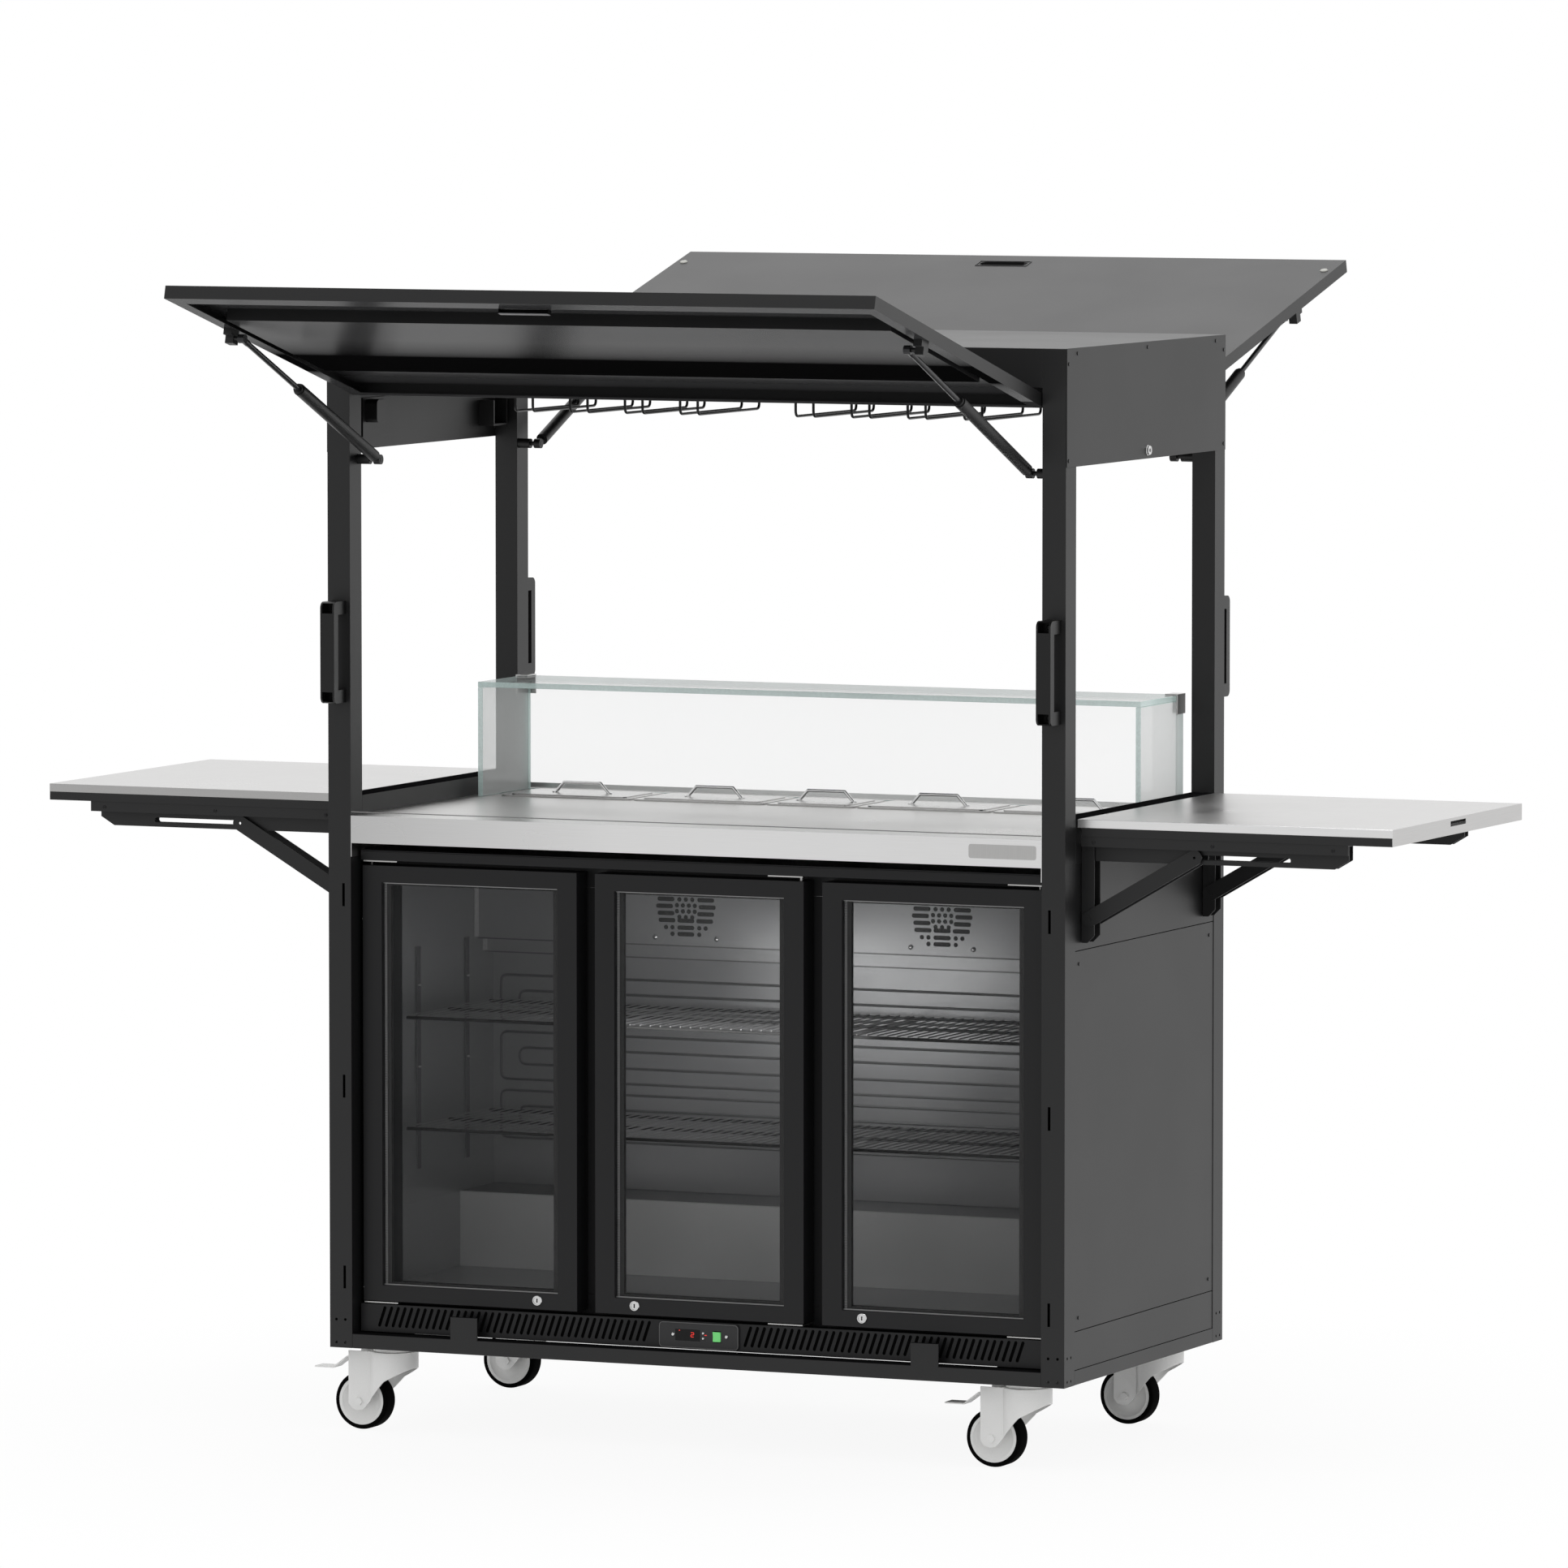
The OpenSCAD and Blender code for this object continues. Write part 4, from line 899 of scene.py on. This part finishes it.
class BAR_OT_grille(bpy.types.Operator):
    """Grille, control plate with its display, and the rocker switch"""
    bl_idname = "bar.grille"
    bl_label = "Grille and controls"

    def execute(self, context):
        paint("vent_grille", door_coat())
        softened("controller_panel", 0.7 * MM, plate_plastic(), 3)
        softened("rocker_switch", 0.4 * MM, glow("green_rocker", looks().lit, 0.45))
        low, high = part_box("controller_panel")
        middle, half = (low + high) / 2, (high - low) / 2
        middle.y = low.y + 1.2 * MM
        inset = 1 * MM
        bm = bmesh.new()
        # A thin pale loop round the plate's edge, a painted highlight.
        wire_loop(bm, middle, half.x - inset, half.z - inset, 8 * MM, 1.5 * MM)
        rim = surface("plate_rim_highlight", grey(0.12), 0.4, bump=0.08)
        piece("control_rim_highlight", bm, [rim], "unit", "black_plastic")
        self.display(middle)
        self.heads(middle)
        self.backing()
        return {"FINISHED"}

    def display(self, middle):
        """Dark window with one lit digit and two small lit marks."""
        bm = bmesh.new()
        low, high = Vector((-45.8, 0.5, -9.8)) * MM, Vector((2.8, 1.1, 10.8)) * MM
        plate(bm, middle + low, middle + high, 1 * MM, 0.2 * MM)
        glass = surface("display_window", grey(0.006), 0.12, bump=0.0, IOR=1.3)
        piece("display_window", bm, [glass], "unit", "black_plastic")
        bm = bmesh.new()
        wide, tall, bar, thick, soft = 2.8 * MM, 3.9 * MM, 0.6 * MM, 0.2 * MM, 0.1 * MM
        centre = middle + Vector((-12.6, 0.35, 1.4)) * MM
        bars = [(-wide, z - bar, wide, z + bar) for z in (-tall, 0, tall)]
        bars += [(wide - bar, bar, wide + bar, tall - bar), (-wide - bar, bar - tall, bar - wide, -bar)]
        for x0, z0, x1, z1 in bars:
            block(bm, centre + Vector((x0, 0, z0)), centre + Vector((x1, thick, z1)), soft, 1)
        for x, y, z, half in ((-38, 0.3, 8.5, 1.1), (14, -0.2, 1.8, 2.4)):
            spot, reach = middle + Vector((x, y, z)) * MM, Vector((half, 0, 0.7)) * MM
            block(bm, spot - reach, spot + reach + Vector((0, thick, 0)), soft, 1)
        piece("display_digit", bm, [glow("red_digit", looks().digit, 0.7)], "unit", "black_plastic")

    def heads(self, middle):
        """Two screws and two round keys."""
        bm = bmesh.new()
        for x, z, r in ((-50.6, 0.8, 3.2), (55, 0.8, 3.2), (9, -4.4, 2.4), (9, 5, 2.4)):
            knob(bm, middle + Vector((x, 0, z)) * MM, FRONT, r * MM, 1.4 * MM, 0.6)
        piece("control_screws", bm, [chrome()], "unit", "chrome")

    def backing(self):
        """Dark sheets behind the grille and behind the air slots of the back, which paint the shade seen
        through them.
        """
        low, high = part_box("vent_grille")
        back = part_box("body_panels")[1].y - 22 * MM
        inset, half, bottom, top = 3 * MM, 620 * MM, 150 * MM, 420 * MM
        bm = bmesh.new()
        block(bm, (low.x + inset, low.y + 8 * MM, low.z + inset), (high.x - inset, low.y + 9 * MM, high.z))
        block(bm, (-half, back, bottom), (half, back + 1 * MM, top))
        piece("vent_shade_backing", bm, [painted_recess_shade()], "unit", "black_metal")


def flap_axes(end, s):
    """A flap's hinge, the way out along the open flap, and the way up from its outer face."""
    hinge = JOINTS[f"flap_{end}_hinge"]
    lift = math.radians(hinge["range_deg"][1] - 90)
    out = Vector((0, s * math.cos(lift), math.sin(lift)))
    up = Vector((0, -s * math.sin(lift), math.cos(lift)))
    return Vector(hinge["pos_m"]), out, up


class BAR_OT_flaps(bpy.types.Operator):
    """Flaps with their bumpers, gas struts and glass racks"""
    bl_idname = "bar.flaps"
    bl_label = "Flaps and struts"

    def execute(self, context):
        rod = surface("strut_rod", (0.04, 0.04, 0.042), 0.22, grain=500, bump=0.02, Metallic=0.6)
        for end, s in (("front", -1), ("rear", 1)):
            hinge, out, up = flap_axes(end, s)
            # The flap's inside takes the coat with painted shade and painted sheen.
            softened(f"flap_{end}", sizes().fold, coat(), facing=-up, other=shaded_pan_coat())
            self.bumpers(end, hinge, out, up)
            self.pull(end, hinge, out, up)
            paint(f"strut_tubes_{end}", coat())
            paint(f"strut_rods_{end}", rod)
        self.racks()
        return {"FINISHED"}

    def bumpers(self, end, hinge, out, up):
        """Pale round bumpers near the outer corners of a flap's outer face."""
        spot = hinge + out * 698 * MM + up * 8 * MM
        bm = bmesh.new()
        for x in (-660.5 * MM, 660.5 * MM):
            knob(bm, (x, spot.y, spot.z), up, sizes().bumper / 2, 2.4 * MM, 0.6)
        pale = surface("pale_bumper", (0.42, 0.42, 0.39), 0.5)
        piece(f"bumpers_{end}", bm, [pale], f"flap_{end}", "black_plastic")

    def pull(self, end, hinge, out, up):
        """Rim of the slot pull on the outer face, and its cup that shows under the lip: painted shade inside
        the cup and a painted highlight along its lower edge.
        """
        bm = bmesh.new()
        rims = [(-53, 53, 701, 702.6), (-53, 53, 729.4, 731)]
        rims += [(-53, -51, 702.6, 729.4), (51, 53, 702.6, 729.4)]
        for x0, x1, y0, y1 in rims:
            block(bm, Vector((x0, y0, 7.8)) * MM, Vector((x1, y1, 9.2)) * MM, 0.4 * MM, 1)
        # The cup's walls are painted shade.
        block(bm, Vector((-46.5, 720, -23)) * MM, Vector((46.5, 721, -14)) * MM, mat=1)
        for x0, x1 in ((-48, -46.5), (46.5, 48)):
            block(bm, Vector((x0, 720, -24)) * MM, Vector((x1, 731, -15)) * MM, mat=1)
        # A painted highlight along the cup's lower edge.
        block(bm, Vector((-48, 720, -24.4)) * MM, Vector((48, 731, -22.8)) * MM, 0.4 * MM, 1, 2)
        turn = Matrix((Vector((1, 0, 0)), out, up)).transposed().to_4x4()
        bmesh.ops.transform(bm, matrix=Matrix.Translation(hinge) @ turn, verts=bm.verts)
        rim = surface("pull_rim_highlight", (0.16, 0.16, 0.165), 0.4, bump=0.08)
        piece(f"pull_{end}", bm, [coat(), painted_recess_shade(), rim], f"flap_{end}", "black_metal")

    def racks(self):
        """Bent wires that hang under the ceiling, in two groups of four pairs."""
        low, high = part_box("glass_racks")
        thick = sizes().rack
        r, pairs, pitch, gap = thick / 2, 4, 110 * MM, 35 * MM
        group = (pairs - 1) * pitch + gap
        near, far, bottom = low.y + r, high.y - r, low.z + r
        bm = bmesh.new()
        for start in (low.x + r, high.x - r - group):
            for i in range(pairs):
                for x in (start + i * pitch, start + i * pitch + gap):
                    path = [(x, near, high.z), (x, near, bottom), (x, far, bottom), (x, far, high.z)]
                    wire(bm, curved(path, sizes().rack_bend), thick, 10)
        piece("rack_wires", bm, [black_wire()], "unit", "black_metal", ["glass_racks"])


class BAR_OT_handles(bpy.types.Operator):
    """Push handles on the posts and their screws"""
    bl_idname = "bar.handles"
    bl_label = "Push handles"

    def execute(self, context):
        softened("push_handles", sizes().grip_edge, plastic(), steps=3)
        low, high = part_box("push_handles")
        side, end, deep = 14 * MM, 12 * MM, 30 * MM
        bm = bmesh.new()
        for s in (-1, 1):
            for x in (low.x + side, high.x - side):
                for z in (low.z + end, high.z - end):
                    knob(bm, (x, s * (high.y - deep), z), (0, s, 0), 5 * MM, 4 * MM, 0.4)
        piece("handle_screws", bm, [black_wire()], "unit", "black_metal")
        return {"FINISHED"}


class BAR_OT_casters(bpy.types.Operator):
    """Caster plates, forks, wheels and pedals"""
    bl_idname = "bar.casters"
    bl_label = "Casters"

    def execute(self, context):
        softened("caster_plates", 0.8 * MM, zinc())
        for end in ("front", "rear"):
            for side, _ in ENDS:
                softened(f"fork_{end}_{side}", 0.8 * MM, zinc())
                self.wheel(f"{end}_{side}")
        for side, _ in ENDS:
            softened(f"pedal_{side}", 0.6 * MM, zinc())
        return {"FINISHED"}

    def wheel(self, name):
        """A dished hub with a rim, in a rubber tyre."""
        hub = [(5.05, 22), (13, 22), (15, 14), (28, 12), (36, 15.5), (39, 18), (44.4, 18)]
        tyre = [(44.5, 18), (47.5, 19), (51.5, 17.5), (52.9, 14)]
        centre = JOINTS[f"spin_{name}"]["pos_m"]
        bm = bmesh.new()
        for mat, half in enumerate((hub, tyre)):
            whole = half + [(r, -h) for r, h in reversed(half)]
            lathe(bm, [(r * MM, h * MM) for r, h in whole], centre, (0, 1, 0), 72, mat)
        piece(f"caster_wheel_{name}", bm, [hub_plastic(), rubber()], f"wheel_{name}", "tyre",
              [f"wheel_{name}"])


class BAR_OT_shelves(bpy.types.Operator):
    """Folding side shelves and their brackets"""
    bl_idname = "bar.shelves"
    bl_label = "Side shelves"

    def execute(self, context):
        softened("shelf_legs", 0.8 * MM, coat())
        for side, s in ENDS:
            plain = brushed("shelf_steel", (1, 0.012, 1), tone=looks().shelf)
            # Painted light: only the right shelf's front face takes the lighter steel.
            edge = brushed("lit_shelf_front", tone=looks().front) if s > 0 else plain
            softened(f"shelf_top_{side}", 0.7 * MM, plain, facing=FRONT, other=edge)
            softened(f"shelf_frame_{side}", 0.7 * MM, coat())
            softened(f"brace_{side}", 0.6 * MM, coat())
            self.screws(side, s)
        return {"FINISHED"}

    def screws(self, side, s):
        """Screws along the band under a shelf's front and rear edge."""
        low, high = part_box(f"shelf_top_{side}")
        near, z, sunk = min(abs(low.x), abs(high.x)), high.z - 40.5 * MM, 2 * MM
        bm = bmesh.new()
        for x in (30 * MM, 256 * MM, 484 * MM):
            for y, way in ((low.y + sunk, -1), (high.y - sunk, 1)):
                knob(bm, (s * (near + x), y, z), (0, way, 0), sizes().screw / 2, 1.5 * MM, 0.4)
        piece(f"shelf_screws_{side}", bm, [black_wire()], f"shelf_{side}", "black_metal")


class BAR_OT_stage(bpy.types.Operator):
    """Floor, surround, lamps and camera"""
    bl_idname = "bar.stage"
    bl_label = "Stage"

    def execute(self, context):
        stage = context.scene.bar_stage
        context.scene.view_settings.view_transform = "Standard"
        self.floor(stage)
        self.surround(stage)
        self.lamp("overhead", spot=(0.3, -0.8, 6.0), target=(0, 0, 1), size=(4.0, 4.0), power=110)
        self.lamp("back_top", spot=(-2.4, 5.6, 5.2), target=(0, 0.8, 2.0), size=(4.0, 3.0), power=24)
        self.lamp("cooler_light", spot=(0.02, -0.27, 0.77), target=(0.02, 0.13, 0.77), size=(0.54, 0.22),
                  power=0.95)
        self.camera(stage)
        return {"FINISHED"}

    def camera(self, stage):
        lens = bpy.data.cameras.new("camera")
        lens.lens = stage.lens
        lens.sensor_width = 36
        lens.clip_end = 200
        camera = added("camera", lens)
        camera.location = stage.place
        camera.rotation_euler = (math.pi / 2 - stage.pitch, 0, stage.yaw)
        bpy.context.scene.camera = camera

    def lamp(self, name, spot, target, size, power):
        lamp = bpy.data.lights.new(name, "AREA")
        lamp.shape = "RECTANGLE"
        lamp.size, lamp.size_y = size
        lamp.energy = power
        obj = added(name, lamp)
        obj.location = spot
        obj.rotation_euler = (Vector(target) - Vector(spot)).to_track_quat("-Z", "Y").to_euler()
        obj.visible_camera = False

    def rays(self, tree):
        """Whether a ray comes straight through from the camera, and whether it comes from a mirror."""
        path = tree.nodes.new("ShaderNodeLightPath")
        direct = maths(tree, "MAXIMUM", path.outputs["Is Camera Ray"], path.outputs["Is Transmission Ray"])
        return direct, path.outputs["Is Glossy Ray"]

    def side(self, tree, coord, stage, near, far):
        """Goes from the front's strength to one along Y."""
        parts = tree.nodes.new("ShaderNodeSeparateXYZ")
        join(tree, coord, parts.inputs[0])
        return span(tree, parts.outputs["Y"], stage.front, 1.0, near, far)

    def floor(self, stage):
        """A wide pale floor that goes over to white round the unit and keeps its shade below it."""
        radius, shade_end, white_start = 60, 0.8, 2.0
        bm = bmesh.new()
        bmesh.ops.create_circle(bm, cap_ends=True, radius=radius, segments=64)
        obj = added_mesh("floor", bm)
        mat = surface("studio_floor", stage.floor, 0.8, grain=40, bump=0.0, shift=0.01)
        tree = mat.node_tree
        coord = coords(tree)
        far = tree.nodes.new("ShaderNodeVectorMath")
        far.operation = "LENGTH"
        join(tree, coord, far.inputs[0])
        fade = span(tree, far.outputs["Value"], 1 - stage.shade, 1.0, shade_end, white_start)
        direct, mirror = self.rays(tree)
        mix = tree.nodes.new("ShaderNodeMixShader")
        join(tree, maths(tree, "MULTIPLY", fade, maths(tree, "MAXIMUM", direct, mirror)), mix.inputs["Fac"])
        join(tree, shader_of(mat).outputs[0], mix.inputs[1])
        white = tree.nodes.new("ShaderNodeEmission")
        strength = maths(tree, "MAXIMUM", direct, self.side(tree, coord, stage, -4.0, 1.5))
        join(tree, strength, white.inputs["Strength"])
        join(tree, white.outputs[0], mix.inputs[2])
        join(tree, mix.outputs[0], tree.nodes["Material Output"].inputs["Surface"])
        obj.data.materials.append(mat)

    def surround(self, stage):
        """A white studio all round, softer in mirrors on the camera's side."""
        world = bpy.data.worlds.new("studio")
        bpy.context.scene.world = world
        world.use_nodes = True
        tree = world.node_tree
        back = tree.nodes["Background"]
        direct, mirror = self.rays(tree)
        way = tree.nodes.new("ShaderNodeTexCoord").outputs["Generated"]
        mirrored = maths(tree, "MULTIPLY", mirror, self.side(tree, way, stage, -0.6, 0.6))
        shown = maths(tree, "MAXIMUM", direct, mirrored)
        rest = span(tree, maths(tree, "MAXIMUM", direct, mirror), stage.sky, 0.0, 0.0, 1.0)
        join(tree, maths(tree, "MAXIMUM", shown, rest), back.inputs["Strength"])
        back.inputs["Color"].default_value = (1, 1, 1, 1)


STEPS = (BAR_OT_stage, BAR_OT_frame, BAR_OT_worktop, BAR_OT_guard, BAR_OT_cooler, BAR_OT_doors,
         BAR_OT_grille, BAR_OT_flaps, BAR_OT_handles, BAR_OT_casters, BAR_OT_shelves)


class BAR_PT_panel(bpy.types.Panel):
    """Lists the steps that dress the unit"""
    bl_label = "Bar unit"
    bl_idname = "BAR_PT_panel"
    bl_space_type = "VIEW_3D"
    bl_region_type = "UI"
    bl_category = "Bar Unit"

    def draw(self, context):
        for step in STEPS:
            self.layout.operator(step.bl_idname)


CLASSES = (BarFinishes, BarSizes, BarStage, *STEPS, BAR_PT_panel)


def register():
    for cls in CLASSES:
        bpy.utils.register_class(cls)
    bpy.types.Scene.bar_finishes = PointerProperty(type=BarFinishes)
    bpy.types.Scene.bar_sizes = PointerProperty(type=BarSizes)
    bpy.types.Scene.bar_stage = PointerProperty(type=BarStage)


def unregister():
    del bpy.types.Scene.bar_finishes
    del bpy.types.Scene.bar_sizes
    del bpy.types.Scene.bar_stage
    for cls in reversed(CLASSES):
        bpy.utils.unregister_class(cls)


def main():
    register()
    for step in STEPS:
        group, name = step.bl_idname.split(".")
        getattr(getattr(bpy.ops, group), name)()


if __name__ == "__main__":
    main()
